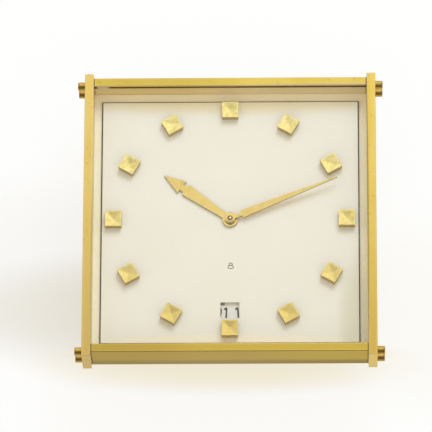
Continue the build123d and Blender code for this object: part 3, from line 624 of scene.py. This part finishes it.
class Bench:
    """Hand work shared by the modelled pieces."""

    SHARP_DEGREES: float = 30.0
    ROUNDING_STEPS: int = 2
    LOOP_STEPS: int = 40
    LINE_STEPS: int = 8
    FLAG_HEIGHT_SHARE: float = 1.3
    FLAG_FALL_SHARE: float = 0.6

    @staticmethod
    def clear() -> None:
        """Leave nothing selected."""
        bpy.ops.object.select_all(action="DESELECT")

    @staticmethod
    def take(piece: Piece) -> None:
        """Select one piece alone.

        Args:
            piece: The piece to work on.
        """
        Bench.clear()
        piece.select_set(True)
        bpy.context.view_layer.objects.active = piece

    @staticmethod
    def pick_faces(
        piece: Piece, normal: Triple, above: float = -math.inf, near: float = 0.99
    ) -> None:
        """Select the faces that look one way, in edit mode.

        Args:
            piece: The piece in edit mode.
            normal: Direction that the faces look.
            above: Height that a face's middle must pass.
            near: Least cosine of the angle between a face's normal and that direction.
        """
        bpy.ops.mesh.select_mode(type="FACE")
        bpy.ops.mesh.select_all(action="DESELECT")
        mesh = bmesh.from_edit_mesh(piece.data)
        for face in mesh.faces:
            if face.normal.dot(normal) > near and face.calc_center_median().z > above:
                face.select_set(True)
        bmesh.update_edit_mesh(piece.data)

    @staticmethod
    def soften(piece: Piece, width: float, smooth: float) -> None:
        """Round the sharp edges of a piece.

        Args:
            piece: The piece to finish.
            width: Width of the rounding.
            smooth: Largest angle that is shaded smooth, in degrees.
        """
        Bench.take(piece)
        rounding = piece.modifiers.new("rounding", "BEVEL")
        rounding.width = width
        rounding.segments = Bench.ROUNDING_STEPS
        rounding.limit_method = "ANGLE"
        rounding.angle_limit = math.radians(Bench.SHARP_DEGREES)
        bpy.ops.object.modifier_apply(modifier=rounding.name)
        bpy.ops.object.shade_smooth_by_angle(angle=math.radians(smooth))

    @staticmethod
    def copy(piece: Piece, name: str, matrix: Matrix) -> Piece:
        """Copy a piece, with its place in its own mesh.

        Args:
            piece: The piece to copy.
            name: Name of the copy.
            matrix: Place of the copy, from the first piece's.

        Returns:
            The copy.
        """
        made = bpy.data.objects.new(name, piece.data.copy())
        made.data.name = name
        made.data.transform(matrix)
        bpy.context.scene.collection.objects.link(made)
        return made

    @staticmethod
    def join(pieces: list[Piece], name: str) -> Piece:
        """Make one piece of several.

        Args:
            pieces: The pieces to join.
            name: Name of the whole.

        Returns:
            The whole.
        """
        Bench.take(pieces[0])
        for piece in pieces:
            piece.select_set(True)
        bpy.ops.object.join()
        whole = bpy.context.object
        whole.name = name
        whole.data.name = name
        return whole

    @staticmethod
    def loop(width: float, height: float, stroke: float, thickness: float) -> Piece:
        """Make a printed loop with round ends about the origin, facing -Y.

        Args:
            width: Width over the loop.
            height: Height over the loop.
            stroke: Width of its line.
            thickness: Thickness of its ink.

        Returns:
            The loop.
        """
        across = min(width, height)
        Bench.clear()
        bpy.ops.mesh.primitive_torus_add(
            major_segments=Bench.LOOP_STEPS,
            minor_segments=Bench.LINE_STEPS,
            major_radius=(across - stroke) / 2,
            minor_radius=stroke / 2,
        )
        piece = bpy.context.object
        bpy.ops.object.mode_set(mode="EDIT")
        bpy.ops.mesh.select_all(action="SELECT")
        bpy.ops.transform.rotate(value=QUARTER_TURN, orient_axis="X", center_override=ORIGIN)
        bpy.ops.transform.resize(value=(1.0, thickness / stroke, 1.0), center_override=ORIGIN)
        bpy.ops.mesh.select_mode(type="VERT")
        stretch = Vector((width - across, 0.0, height - across)) / 2
        for side in (1.0, -1.0):
            bpy.ops.mesh.select_all(action="DESELECT")
            mesh = bmesh.from_edit_mesh(piece.data)
            for vertex in mesh.verts:
                if vertex.co.dot(stretch) * side > 0.0:
                    vertex.select_set(True)
            bmesh.update_edit_mesh(piece.data)
            bpy.ops.transform.translate(value=stretch * side)
        bpy.ops.object.mode_set(mode="OBJECT")
        return piece

    @staticmethod
    def one(height: float, stroke: float, thickness: float) -> Piece:
        """Make a printed 1 about the origin, facing -Y: a stem with a flag.

        Args:
            height: Height of the digit.
            stroke: Width of its stem.
            thickness: Thickness of its ink.

        Returns:
            The digit.
        """
        Bench.clear()
        bpy.ops.mesh.primitive_cube_add(size=1.0)
        piece = bpy.context.object
        root = height / 2 - Bench.FLAG_HEIGHT_SHARE * stroke
        flag = (-stroke, 0.0, -Bench.FLAG_FALL_SHARE * stroke)
        bpy.ops.object.mode_set(mode="EDIT")
        bpy.ops.mesh.select_all(action="SELECT")
        bpy.ops.transform.resize(value=(stroke, thickness, height))
        bpy.ops.mesh.bisect(plane_co=(0.0, 0.0, root), plane_no=(0.0, 0.0, 1.0))
        Bench.pick_faces(piece, (-1.0, 0.0, 0.0), root)
        bpy.ops.mesh.extrude_region_move(TRANSFORM_OT_translate={"value": flag})
        bpy.ops.object.mode_set(mode="OBJECT")
        return piece

    @staticmethod
    def digit(text: str, height: float, thickness: float, weight: float) -> Piece:
        """Make a printed digit about the origin, facing -Y.

        Args:
            text: The digit.
            height: Height of the digit.
            thickness: Thickness of its ink.
            weight: Growth of its strokes, as a share of the letter size.

        Returns:
            The digit as a mesh.
        """
        Bench.clear()
        bpy.ops.object.text_add()
        piece = bpy.context.object
        piece.data.body = text
        piece.data.offset = weight
        piece.data.extrude = thickness / 2
        bpy.ops.object.convert(target="MESH")
        piece = bpy.context.object
        corners = [vertex.co for vertex in piece.data.vertices]
        low = Vector(min(corner[axis] for corner in corners) for axis in range(3))
        high = Vector(max(corner[axis] for corner in corners) for axis in range(3))
        scale = height / (high.y - low.y)
        piece.data.transform(Matrix.Translation(-(low + high) / 2))
        piece.data.transform(Matrix.Diagonal((scale, scale, 1.0, 1.0)))
        piece.data.transform(Matrix.Rotation(QUARTER_TURN, 4, "X"))
        return piece

    @staticmethod
    def coat(piece: Piece, finish: Material) -> None:
        """Give a whole piece one finish.

        Args:
            piece: The piece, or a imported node.
            finish: Its material.
        """
        if not piece.material_slots:
            piece.data.materials.append(finish)
        for slot in piece.material_slots:
            slot.material = finish


@dataclass
class Layout:
    """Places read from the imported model, those of the case in millimetres from the hands' axis."""

    axis: Vector
    inner_mm: float
    tip_mm: float
    ceiling_mm: float
    base_mm: float

    @classmethod
    def read(cls) -> "Layout":
        """Find the hands' axis at the front edge, the inside and ends of the sides, and the undersides.

        Returns:
            The places.
        """
        plate_low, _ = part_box("left_side_plate")
        nut_low, nut_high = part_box("hand_nut")
        side_low, side_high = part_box("right_side_plate")
        top_low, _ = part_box("top_plate")
        low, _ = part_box("bottom_plate")
        middle = (nut_low + nut_high) / 2
        axis = Vector((0.0, plate_low.y, middle.z))
        tip = side_high.z - axis.z
        ceiling = top_low.z - axis.z
        return cls(axis, side_low.x / MM, tip / MM, ceiling / MM, (low - axis).z / MM)

    def about_axis(self, turn: float) -> Matrix:
        """Turn about the hands' axis, counter-clockwise seen from the front, in degrees."""
        spin = Matrix.Rotation(math.radians(-turn), 4, "Y")
        return Matrix.Translation(self.axis) @ spin @ Matrix.Translation(-self.axis)


@dataclass
class SubAssembly:
    """A group of pieces that is built and dressed together."""

    layout: Layout

    def dress(self, finish: Material, *names: str) -> None:
        """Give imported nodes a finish.

        Args:
            finish: The material.
            names: Names of the nodes.
        """
        for name in names:
            Bench.coat(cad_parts[name], finish)
            log.info("dressed %s in %s", name, finish.name)

    def seat(self, piece: Piece, body: str, slot: str, finish: Material) -> None:
        """Put a new piece on its body and give it a finish.

        Args:
            piece: The new piece.
            body: Body that carries it.
            slot: Not used.
            finish: Its material.
        """
        Bench.coat(piece, finish)
        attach(piece, body)
        log.info("seated %s on %s", piece.name, body)


@dataclass
class Case(SubAssembly):
    """Brass plates, corner screws, glass and its channel."""

    seam_mm: float = 0.7
    rear_mm: float = 25.0
    rear_fade_mm: float = 6.0

    def dress_sides(self) -> None:
        """Dress the side plates, each with its own brass, matt ends painted paler as painted light, and
        painted shade along its inner edge.
        """
        axis = self.layout.axis
        inner = self.layout.inner_mm
        # Painted shade along the inner edges of the side plates.
        left_edge_painted_shade = Stain.line((-inner, 0.0, -35.0), (0.8, 3.0, 60.0), (0.52, 0.40, 0.10), 0.6)
        right_edge_painted_shade = Stain.line((inner, 0.0, 0.0), (0.9, 3.0, 90.0), (0.44, 0.33, 0.09), 0.85)
        cheeks = Zone(Way.ACROSS, inner, False, (0.93, 0.80, 0.46), roughness=0.1, dull=0.8)
        rubbed = Wear.of("left_side_plate", Way.ACROSS)
        # Each side's ends are matt and painted paler as painted light, the right end lighter than the left.
        for side, bright, deep, pale, edge in (
            ("left", (0.95, 0.70, 0.20), (0.88, 0.645, 0.16), (0.84, 0.62, 0.205), left_edge_painted_shade),
            ("right", (0.98, 0.715, 0.165), (0.90, 0.64, 0.115), (0.99, 0.77, 0.23), right_edge_painted_shade),
        ):
            brass = Brass.plate(f"{side}_plate_brass", bright, deep, Grain.UPRIGHT)
            ends = Zone(Way.UP, self.layout.tip_mm, True, pale, roughness=0.2, dull=0.8)
            self.dress(brass.paint(axis, rubbed, ends, cheeks, edge), f"{side}_side_plate")

    def dress_cross_plates(self) -> None:
        """Dress the top and bottom plates, with their undersides, parts darker at the left, painted shade, a
        painted highlight and dark seams.
        """
        inner = self.layout.inner_mm
        ceiling = self.layout.ceiling_mm
        base = self.layout.base_mm
        cross = Brass.plate("cross_plate_brass", (0.92, 0.69, 0.15), (0.83, 0.62, 0.095), Grain.ACROSS)
        soffit = Zone(Way.UP, ceiling, False, (0.93, 0.775, 0.44), roughness=0.1, dull=0.85)
        # Painted shade under the top plate at its right end.
        painted_shade = Stain.soft((70.0, 8.0, ceiling), (65.0, 30.0, 1.5), (0.80, 0.66, 0.36), 0.8)
        # Front faces darker towards the left, at the top and at the foot.
        darker_left_top = Stain.soft((-45.0, 0.0, 80.0), (48.0, 60.0, 8.0), (0.76, 0.57, 0.11), 0.6)
        darker_left_foot = Stain.soft((-65.0, 0.0, -80.0), (45.0, 60.0, 8.0), (0.58, 0.40, 0.085), 0.55)
        # The underside of the bottom plate painted darker and browner as painted shade.
        under = Stain.soft((0.0, 11.0, base), (100.0, 40.0, 0.6), (0.71, 0.515, 0.095), 0.9, core=0.6)
        # Painted highlight on the underside at the right.
        painted_highlight_under = Stain.soft((75.0, 11.0, base), (60.0, 40.0, 1.0), (0.86, 0.62, 0.11), 0.8)
        # Painted shade towards the rear edges.
        rear = Zone(Way.DEEP, self.rear_mm, True, (0.52, 0.38, 0.09), edge_mm=self.rear_fade_mm)
        seam = (self.seam_mm, ALONG_MM, ALONG_MM)
        seams = [Stain.line((side, 0.0, 0.0), seam, (0.26, 0.17, 0.04), 0.7) for side in (-inner, inner)]
        parts = (soffit, painted_shade, darker_left_top, darker_left_foot, under, painted_highlight_under, rear, *seams)
        rubbed = Wear.of("top_plate", Way.UP)
        self.dress(cross.paint(self.layout.axis, rubbed, *parts), "top_plate", "bottom_plate")

    def dress_glazing(self) -> None:
        """Dress the glass and its channel, whose rubber is painted paler at the left as painted light, with
        a smudge and a painted corner shadow at the top left.
        """
        inner = self.layout.inner_mm
        ceiling = self.layout.ceiling_mm
        rubber = Lacquer("channel_rubber", (0.24, 0.15, 0.03), (0.17, 0.10, 0.02), 0.6, specular=0.1)
        # The rubber painted paler at the left as painted light.
        pale = Stain.soft((-inner, 2.0, 0.0), (2.5, 10.0, 90.0), (0.75, 0.62, 0.36), 0.9, core=0.8)
        smudge = Stain((-72.7, 1.5, ceiling), (4.6, 6.0, 4.0), (0.85, 0.74, 0.68), 0.9)
        # Painted shadow in the top left inner corner.
        painted_corner_shadow = Stain((-inner, 2.0, ceiling), (1.8, 6.0, 7.0), (0.04, 0.03, 0.008), 0.95, 0.8, ragged=0.3)
        self.dress(rubber.paint(self.layout.axis, pale, smudge, painted_corner_shadow), "glass_channel")
        self.dress(ClearGlass().paint(), "front_glass")
        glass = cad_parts["front_glass"]
        glass.visible_shadow = False
        glass.visible_diffuse = False

    def build(self) -> None:
        """Dress the case."""
        self.dress_sides()
        self.dress_cross_plates()
        self.dress_glazing()
        pins = Brass("corner_screw_brass", (0.88, 0.62, 0.17), (0.78, 0.50, 0.11), Grain.DEEP, 0.42)
        self.dress(pins.paint(self.layout.axis), "corner_screws")


@dataclass
class Dial(SubAssembly):
    """Dial plate, its seal and mount, the hour markers and the day number."""

    hours: int = 12
    marker_rim: float = 0.25 * MM
    marker_sink: float = 0.9 * MM
    marker_flat: float = 0.3 * MM
    marker_cuts: int = 4
    marker_rounding: float = 0.12 * MM
    marker_smooth: float = 40.0
    day_drop: float = 27.4 * MM
    day_right: float = 0.35 * MM
    day_upper: tuple[float, float] = (2.25 * MM, 1.9 * MM)
    day_lower: tuple[float, float] = (3.35 * MM, 2.2 * MM)
    day_stroke: float = 0.42 * MM
    ink: float = 0.03 * MM

    def model_marker(self) -> Piece:
        """Shape the marker of the twelfth hour: a block with a sunk four-sided top and soft valleys.

        Returns:
            The marker.
        """
        low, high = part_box("hour_marker_12")
        size = high - low
        Bench.clear()
        bpy.ops.mesh.primitive_cube_add(size=1.0, location=ORIGIN)
        piece = bpy.context.object
        bpy.ops.object.mode_set(mode="EDIT")
        bpy.ops.mesh.select_all(action="SELECT")
        bpy.ops.transform.resize(value=size)
        bpy.ops.transform.translate(value=(low + high) / 2)
        Bench.pick_faces(piece, FORWARD)
        bpy.ops.mesh.inset(thickness=self.marker_rim)
        slope = size.x / 2 - self.marker_rim - self.marker_flat / 2
        bpy.ops.mesh.inset(thickness=slope, depth=-self.marker_sink)
        Bench.pick_faces(piece, FORWARD, near=0.9)
        bpy.ops.mesh.subdivide(number_cuts=self.marker_cuts)
        bpy.ops.object.mode_set(mode="OBJECT")
        Bench.soften(piece, self.marker_rounding, smooth=self.marker_smooth)
        return piece

    def model_day(self) -> Piece:
        """Print the day number: two thin loops, one above the other.

        Returns:
            The number.
        """
        axis = self.layout.axis
        face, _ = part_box("dial_plate")
        loops = []
        for (width, height), rise in ((self.day_upper, 0.5), (self.day_lower, -0.5)):
            loop = Bench.loop(width, height, self.day_stroke, self.ink)
            lift = rise * (height - self.day_stroke) - self.day_drop
            place = Vector((axis.x + self.day_right, face.y - self.ink / 2, axis.z + lift))
            loop.data.transform(Matrix.Translation(place))
            loops.append(loop)
        return Bench.join(loops, "day_number")

    def build(self) -> None:
        """Shape the markers and the day number, and dress the dial."""
        axis = self.layout.axis
        # Lower markers and the markers' side walls are painted darker as painted shade.
        facets = Brass(
            "marker_brass", (0.98, 0.83, 0.34), (0.74, 0.60, 0.18), Grain.ACROSS, 0.33,
            line_depth_mm=0.05, lines_per_mm=0.9, tarnish=(0.50, 0.36, 0.07), tarnish_share=0.45,
            spots_per_mm=0.85, clouds_per_mm=0.7, dark_sides=0.8, foot_shade=(0.07, 0.16, 0.34),
        )
        polish = facets.paint(axis)
        first = self.model_marker()
        for hour in range(1, self.hours + 1):
            turn = self.layout.about_axis(-FULL_CIRCLE / self.hours * hour)
            marker = Bench.copy(first, f"sunk_marker_{hour:02d}", turn)
            self.seat(marker, "case", "marker_brass", polish)
            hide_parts(f"hour_marker_{hour:02d}")
        bpy.data.objects.remove(first)
        enamel = Lacquer("dial_enamel", (0.865, 0.835, 0.725), (0.85, 0.815, 0.69), 0.42)
        seal = Lacquer("dial_seal", (0.024, 0.018, 0.009), (0.016, 0.012, 0.006), 0.8, specular=0.1)
        ring = Lacquer("mount_gilt", (0.985, 0.93, 0.69), (0.965, 0.885, 0.63), 0.5, mottle_per_mm=0.2)
        grey = Lacquer("day_ink", (0.035, 0.03, 0.025), (0.03, 0.025, 0.02), 0.6)
        # Painted shade and warm bounce light along the top of the dial.
        painted_top_shade_and_bounce = Stain.soft((0.0, 13.0, 73.0), (95.0, 50.0, 9.0), (0.88, 0.78, 0.49), 0.85)
        # Painted shade at the lower right of the dial and its ring.
        corner = Stain.soft((72.0, 13.0, -66.0), (12.0, 50.0, 45.0), (0.66, 0.62, 0.43), 0.6)
        # Painted light on the top of the ring.
        painted_ring_top_light = Stain.soft((0.0, 14.6, 78.0), (95.0, 50.0, 5.5), (1.0, 0.90, 0.64), 1.0, core=0.9)
        bounce = Stain.soft((0.0, 13.0, -74.0), (85.0, 50.0, 6.0), (0.97, 0.88, 0.64), 0.8)
        self.dress(enamel.paint(axis, painted_top_shade_and_bounce, bounce, corner), "dial_plate")
        self.dress(seal.paint(), "dial_seal")
        self.dress(ring.paint(axis, painted_ring_top_light, corner), "dial_mount")
        self.seat(self.model_day(), "case", "date_enamel", grey.paint())


@dataclass
class DateRing(SubAssembly):
    """Date disc with its 31 printed numbers."""

    days: int = 31
    shown: int = 11
    number_radius: float = 55.1 * MM
    number_height: float = 6.3 * MM
    digit_step: float = 6.8
    rest_turn: float = 1.3
    stroke: float = 0.95 * MM
    nought_width: float = 4.0 * MM
    weight: float = 0.02
    ink: float = 0.03 * MM

    def model_digits(self) -> dict[str, Piece]:
        """Print the ten digits about the origin.

        Returns:
            The digits, by their figures.
        """
        nought = Bench.loop(self.nought_width, self.number_height, self.stroke, self.ink)
        digits = {"0": nought, "1": Bench.one(self.number_height, self.stroke, self.ink)}
        for figure in "23456789":
            digits[figure] = Bench.digit(figure, self.number_height, self.ink, self.weight)
        return digits

    def build(self) -> None:
        """Print the numbers and dress the disc."""
        face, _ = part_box("date_disc")
        axis = self.layout.axis
        start = Vector((axis.x, face.y - self.ink / 2, axis.z - self.number_radius))
        digits = self.model_digits()
        printed = []
        for day in range(1, self.days + 1):
            text = str(day)
            for place, figure in enumerate(text):
                turn = (day - self.shown) * FULL_CIRCLE / self.days + self.rest_turn
                turn += (place - (len(text) - 1) / 2) * self.digit_step
                matrix = self.layout.about_axis(turn) @ Matrix.Translation(start)
                printed.append(Bench.copy(digits[figure], f"date_digit_{day}_{place}", matrix))
        for digit in digits.values():
            bpy.data.objects.remove(digit)
        numbers = Bench.join(printed, "date_numbers")
        black = Lacquer("date_ink", (0.045, 0.04, 0.03), (0.025, 0.02, 0.015), 0.6)
        self.seat(numbers, "date_disc", "date_enamel", black.paint())
        # Painted shadow on the disc, at the top left of the window at rest.
        painted_window_shadow = Stain((-4.3, 16.0, -49.6), (1.7, 6.0, 1.1), (0.12, 0.10, 0.07), 0.85, ragged=0.3)
        white = Lacquer("date_enamel", (0.86, 0.845, 0.775), (0.74, 0.725, 0.65), 0.55, mottle_per_mm=0.9)
        self.dress(white.paint(axis, painted_window_shadow), "date_disc")


@dataclass
class Hands(SubAssembly):
    """Hour hand, minute hand and their nut."""

    bore_mm: float = 1.36

    def build(self) -> None:
        """Dress the hands."""
        axis = self.layout.axis
        # Side walls of the hands painted dark as painted shade.
        satin = Brass(
            "hand_brass", (0.82, 0.63, 0.20), (0.75, 0.54, 0.15), Grain.EVEN, 0.38,
            tarnish=(0.13, 0.075, 0.02), dark_sides=1.0,
        )
        bright = Brass("nut_brass", (0.86, 0.68, 0.24), (0.76, 0.56, 0.17), Grain.ROUND, 0.26)
        nut_low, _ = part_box("hand_nut")
        depth = (nut_low.y - axis.y) / MM
        bore = (self.bore_mm, 3.0, self.bore_mm)
        # The nut's bore painted dark as painted shade.
        painted_bore_shade = Stain.soft((0.0, depth, 0.0), bore, (0.10, 0.055, 0.015), 1.0, core=0.9)
        self.dress(satin.paint(axis), "hour_hand", "minute_hand")
        self.dress(bright.paint(axis, None, painted_bore_shade), "hand_nut")


@dataclass
class Movement(SubAssembly):
    """Motion work, going train, escapement and winding work behind the dial."""

    arbor_tip_mm: float = 12.0
    gleam_mm: float = 0.55

    def build(self) -> None:
        """Dress the movement."""
        axis = self.layout.axis
        plate = Brass("movement_plate_brass", (0.80, 0.61, 0.25), (0.73, 0.53, 0.19), Grain.UPRIGHT, 0.36)
        wheel = Brass("wheel_brass", (0.82, 0.63, 0.25), (0.74, 0.54, 0.19), Grain.ROUND, 0.28)
        steel = Brass(
            "ground_steel", (0.60, 0.61, 0.62), (0.50, 0.51, 0.53), Grain.ROUND, 0.3,
            tarnish=(0.22, 0.20, 0.19),
        )
        blued = Brass(
            "blued_steel", (0.10, 0.14, 0.32), (0.06, 0.09, 0.22), Grain.EVEN, 0.25,
            tarnish=(0.05, 0.05, 0.08),
        )
        self.dress(
            plate.paint(axis), "movement_front_plate", "movement_rear_plate", "movement_spacer",
            "movement_pillars", "balance_cock", "mounting_blocks", "escapement_can",
        )
        self.dress(
            wheel.paint(axis), "centre_wheel", "intermediate_wheel", "third_wheel", "hour_wheel",
            "minute_wheel", "date_wheel", "barrel_drum", "barrel_cap", "balance_wheel",
        )
        # The arbor's tip painted dark as painted shade, with a painted highlight in its middle.
        tip = Zone(Way.DEEP, self.arbor_tip_mm, False, (0.24, 0.14, 0.05))
        spot = (self.gleam_mm, 4.0, self.gleam_mm)
        gleam = Stain.soft((0.15, 8.0, 0.15), spot, (1.0, 0.95, 0.85), 1.0, core=0.5)
        self.dress(steel.paint(axis, None, tip, gleam), "centre_arbor")
        self.dress(
            steel.paint(axis), "cannon_pinion", "motion_studs", "pillar_screws",
            "movement_screws", "winding_arbor", "ratchet_wheel", "click", "click_pin", "block_screws",
        )
        self.dress(blued.paint(axis), "mainspring", "click_spring", "hairspring")


@dataclass
class Back(SubAssembly):
    """Back panel, movement cover, its screws, the setting knob and the key."""

    def build(self) -> None:
        """Dress the back."""
        axis = self.layout.axis
        panel = Brass.plate("back_panel_brass", (0.88, 0.66, 0.18), (0.78, 0.56, 0.12), Grain.UPRIGHT)
        cover = Brass("cover_brass", (0.80, 0.61, 0.18), (0.73, 0.53, 0.13), Grain.ROUND, 0.3)
        key = Brass("key_brass", (0.82, 0.63, 0.19), (0.75, 0.54, 0.14), Grain.EVEN, 0.22)
        self.dress(panel.paint(axis), "back_panel")
        self.dress(cover.paint(axis), "movement_cover", "setting_knob")
        self.dress(key.paint(axis), "winding_key", "cover_screws")


@dataclass(frozen=True)
class Lamp:
    """Soft lamp that looks at the hands' axis and shows on matt surfaces alone."""

    name: str
    offset: Triple
    power: float
    tint: Triple = ONES
    size: float = 0.8

    def hang(self, axis: Vector) -> None:
        """Put the lamp in its place.

        Args:
            axis: Point on the hands' axis that the lamp looks at.
        """
        light = bpy.data.lights.new(self.name, "AREA")
        light.shape = "RECTANGLE"
        light.energy = self.power
        light.color = self.tint
        light.size = self.size
        light.size_y = self.size
        lamp = bpy.data.objects.new(self.name, light)
        lamp.location = axis + Vector(self.offset)
        lamp.rotation_mode = "QUATERNION"
        lamp.rotation_quaternion = (-Vector(self.offset)).to_track_quat("-Z", "Y")
        lamp.visible_glossy = False
        lamp.visible_transmission = False
        bpy.context.scene.collection.objects.link(lamp)


@dataclass(frozen=True)
class Patch:
    """Lighter or darker part of the room, between two angles from its middle, in degrees."""

    towards: Triple
    inner: float
    outer: float
    level: float

    def add(self, paint: Paint, point: Socket) -> Value:
        """Light that the patch adds.

        Args:
            paint: The room under construction.
            point: Direction that is looked at.

        Returns:
            The added light.
        """
        aim = {0: point, 1: Vector(self.towards).normalized()}
        node = paint.node("ShaderNodeVectorMath", aim, operation="DOT_PRODUCT")
        nearness = Value(paint, node.outputs["Value"])
        low, high = (math.cos(math.radians(angle)) for angle in (self.outer, self.inner))
        return nearness.ramp(low, high) * self.level


@dataclass
class Stage:
    """Pale floor and backdrop with soft light from above."""

    layout: Layout
    spread: float = 12.0
    floor_gap: float = 0.1 * MM
    backdrop_gap: float = 2.0 * MM
    fill: float = 0.55
    fill_tint: Triple = (1.0, 0.92, 0.79)
    shine: float = 0.55
    glass_gain: float = 0.35
    glass_patch: Patch = Patch((0.0, -1.0, -0.1), 5.0, 32.0, 0.24)
    lamps: tuple[Lamp, ...] = (
        Lamp("key_lamp", (0.304, -1.168, 1.056), 14.0, (0.70, 0.81, 1.0)),
        Lamp("rear_lamp", (-0.56, 1.2, 0.88), 13.0),
    )
    fill_patches: tuple[Patch, ...] = (
        Patch((1.0, -0.4, 0.3), 0.0, 90.0, 0.06),
        Patch((0.0, -0.7, -0.7), 0.0, 80.0, 0.42),
    )
    shine_patches: tuple[Patch, ...] = (
        Patch((0.0, -0.72, -0.69), 35.0, 60.0, -0.48),
        Patch((0.0, 0.96, 0.28), 30.0, 80.0, 0.14),
        Patch((0.15, -0.85, 0.5), 20.0, 55.0, 0.36),
        Patch((0.45, -0.6, 0.66), 10.0, 45.0, 0.27),
    )
    # Painted shadows of the clock on the backdrop.
    shades: tuple[Stain, ...] = (
        Stain.soft((-115.0, 0.0, -14.0), (85.0, ALONG_MM, 58.0), (0.90, 0.89, 0.86), 0.6),
        Stain.soft((-60.0, 0.0, -40.0), (110.0, ALONG_MM, 36.0), (0.78, 0.75, 0.66), 0.9),
        Stain.soft((0.0, 0.0, -72.0), (118.0, ALONG_MM, 18.0), (0.90, 0.835, 0.66), 0.92),
        Stain.soft((110.0, 0.0, -45.0), (60.0, ALONG_MM, 60.0), (0.95, 0.945, 0.88), 0.7),
        Stain.soft((0.0, 0.0, -66.0), (92.0, ALONG_MM, 6.0), (0.74, 0.62, 0.44), 0.7),
    )

    def sheet(self, name: str, turn: float, place: Vector, *shades: Stain) -> None:
        """Lay one sheet of stage paper.

        Args:
            name: Name of the sheet.
            turn: Its tilt about X.
            place: Its middle.
            shades: Soft shades on the paper.
        """
        Bench.clear()
        bpy.ops.mesh.primitive_plane_add(size=self.spread)
        sheet = bpy.context.object
        sheet.name = name
        sheet.data.transform(Matrix.Translation(place) @ Matrix.Rotation(turn, 4, "X"))
        Bench.coat(sheet, StagePaper(name + "_paper").paint(self.layout.axis, *shades))
        sheet.visible_shadow = False
        sheet.visible_diffuse = False
        sheet.visible_glossy = False
        sheet.visible_transmission = False

    def room(self) -> None:
        """Make the room white, with lighter and darker parts in the reflections."""
        paint = Paint(bpy.data.worlds.new("white_room"))
        bpy.context.scene.world = paint.owner
        paint.owner.cycles.sampling_method = "NONE"
        point = paint.node("ShaderNodeTexCoord").outputs["Generated"]
        path = paint.node("ShaderNodeLightPath")
        through_glass = Value(paint, path.outputs["Is Transmission Ray"])
        mirrored = through_glass.most(Value(paint, path.outputs["Is Glossy Ray"]))
        fill = sum((patch.add(paint, point) for patch in self.fill_patches), self.fill)
        shine = sum((patch.add(paint, point) for patch in self.shine_patches), self.shine)
        shine = shine + through_glass * self.glass_patch.add(paint, point)
        level = mirrored * shine * (1.0 + through_glass * self.glass_gain) + (1.0 - mirrored) * fill
        plain = mirrored.most(Value(paint, path.outputs["Is Camera Ray"]))
        tint = paint.blend(plain, self.fill_tint, ONES)
        glow = paint.node("ShaderNodeBackground", {"Color": tint, "Strength": level})
        paint.node("ShaderNodeOutputWorld", {0: glow.outputs[0]})

    def build(self) -> None:
        """Lay the paper, hang the lamps and set the room."""
        low, high = cad_box
        axis = self.layout.axis
        self.sheet("floor", 0.0, Vector((0.0, 0.0, low.z - self.floor_gap)))
        self.sheet("backdrop", QUARTER_TURN, Vector((0.0, high.y + self.backdrop_gap, axis.z)), *self.shades)
        for lamp in self.lamps:
            lamp.hang(axis)
        self.room()
        view = bpy.context.scene.view_settings
        view.view_transform = "Standard"
        view.look = "None"


@dataclass
class Viewpoint:
    """Camera in front of the clock and below it, with a long lens."""

    layout: Layout
    below: float = 21.218
    aside: float = 1.407
    roll: float = 0.211
    distance: float = 2.8
    lens: float = 414.92
    sensor: float = 36.0
    farthest: float = 50.0
    right: float = 7.7 * MM
    up: float = 2.0 * MM

    def build(self) -> None:
        """Set up the camera."""
        pitch = Matrix.Rotation(math.radians(-self.below), 3, "X")
        yaw = Matrix.Rotation(math.radians(-self.aside), 3, "Z")
        roll = Matrix.Rotation(math.radians(self.roll), 3, "Y")
        right, forward, upward = roll @ pitch @ yaw
        data = bpy.data.cameras.new("camera")
        data.lens = self.lens
        data.sensor_width = self.sensor
        data.clip_end = self.farthest
        camera = bpy.data.objects.new("camera", data)
        place = self.layout.axis - right * self.right - forward * self.distance - upward * self.up
        turn = Matrix((right, upward, -forward)).transposed().to_4x4()
        camera.matrix_world = Matrix.Translation(place) @ turn
        bpy.context.scene.collection.objects.link(camera)
        bpy.context.scene.camera = camera


def main() -> None:
    """Build and dress the clock, its stage and its camera in order."""
    logging.basicConfig(level=logging.INFO, format="%(message)s")
    layout = Layout.read()
    for part in (Viewpoint, Case, Dial, DateRing, Hands, Movement, Back, Stage):
        part(layout).build()
        log.info("finished %s", part.__name__)


if __name__ == "__main__":
    main()
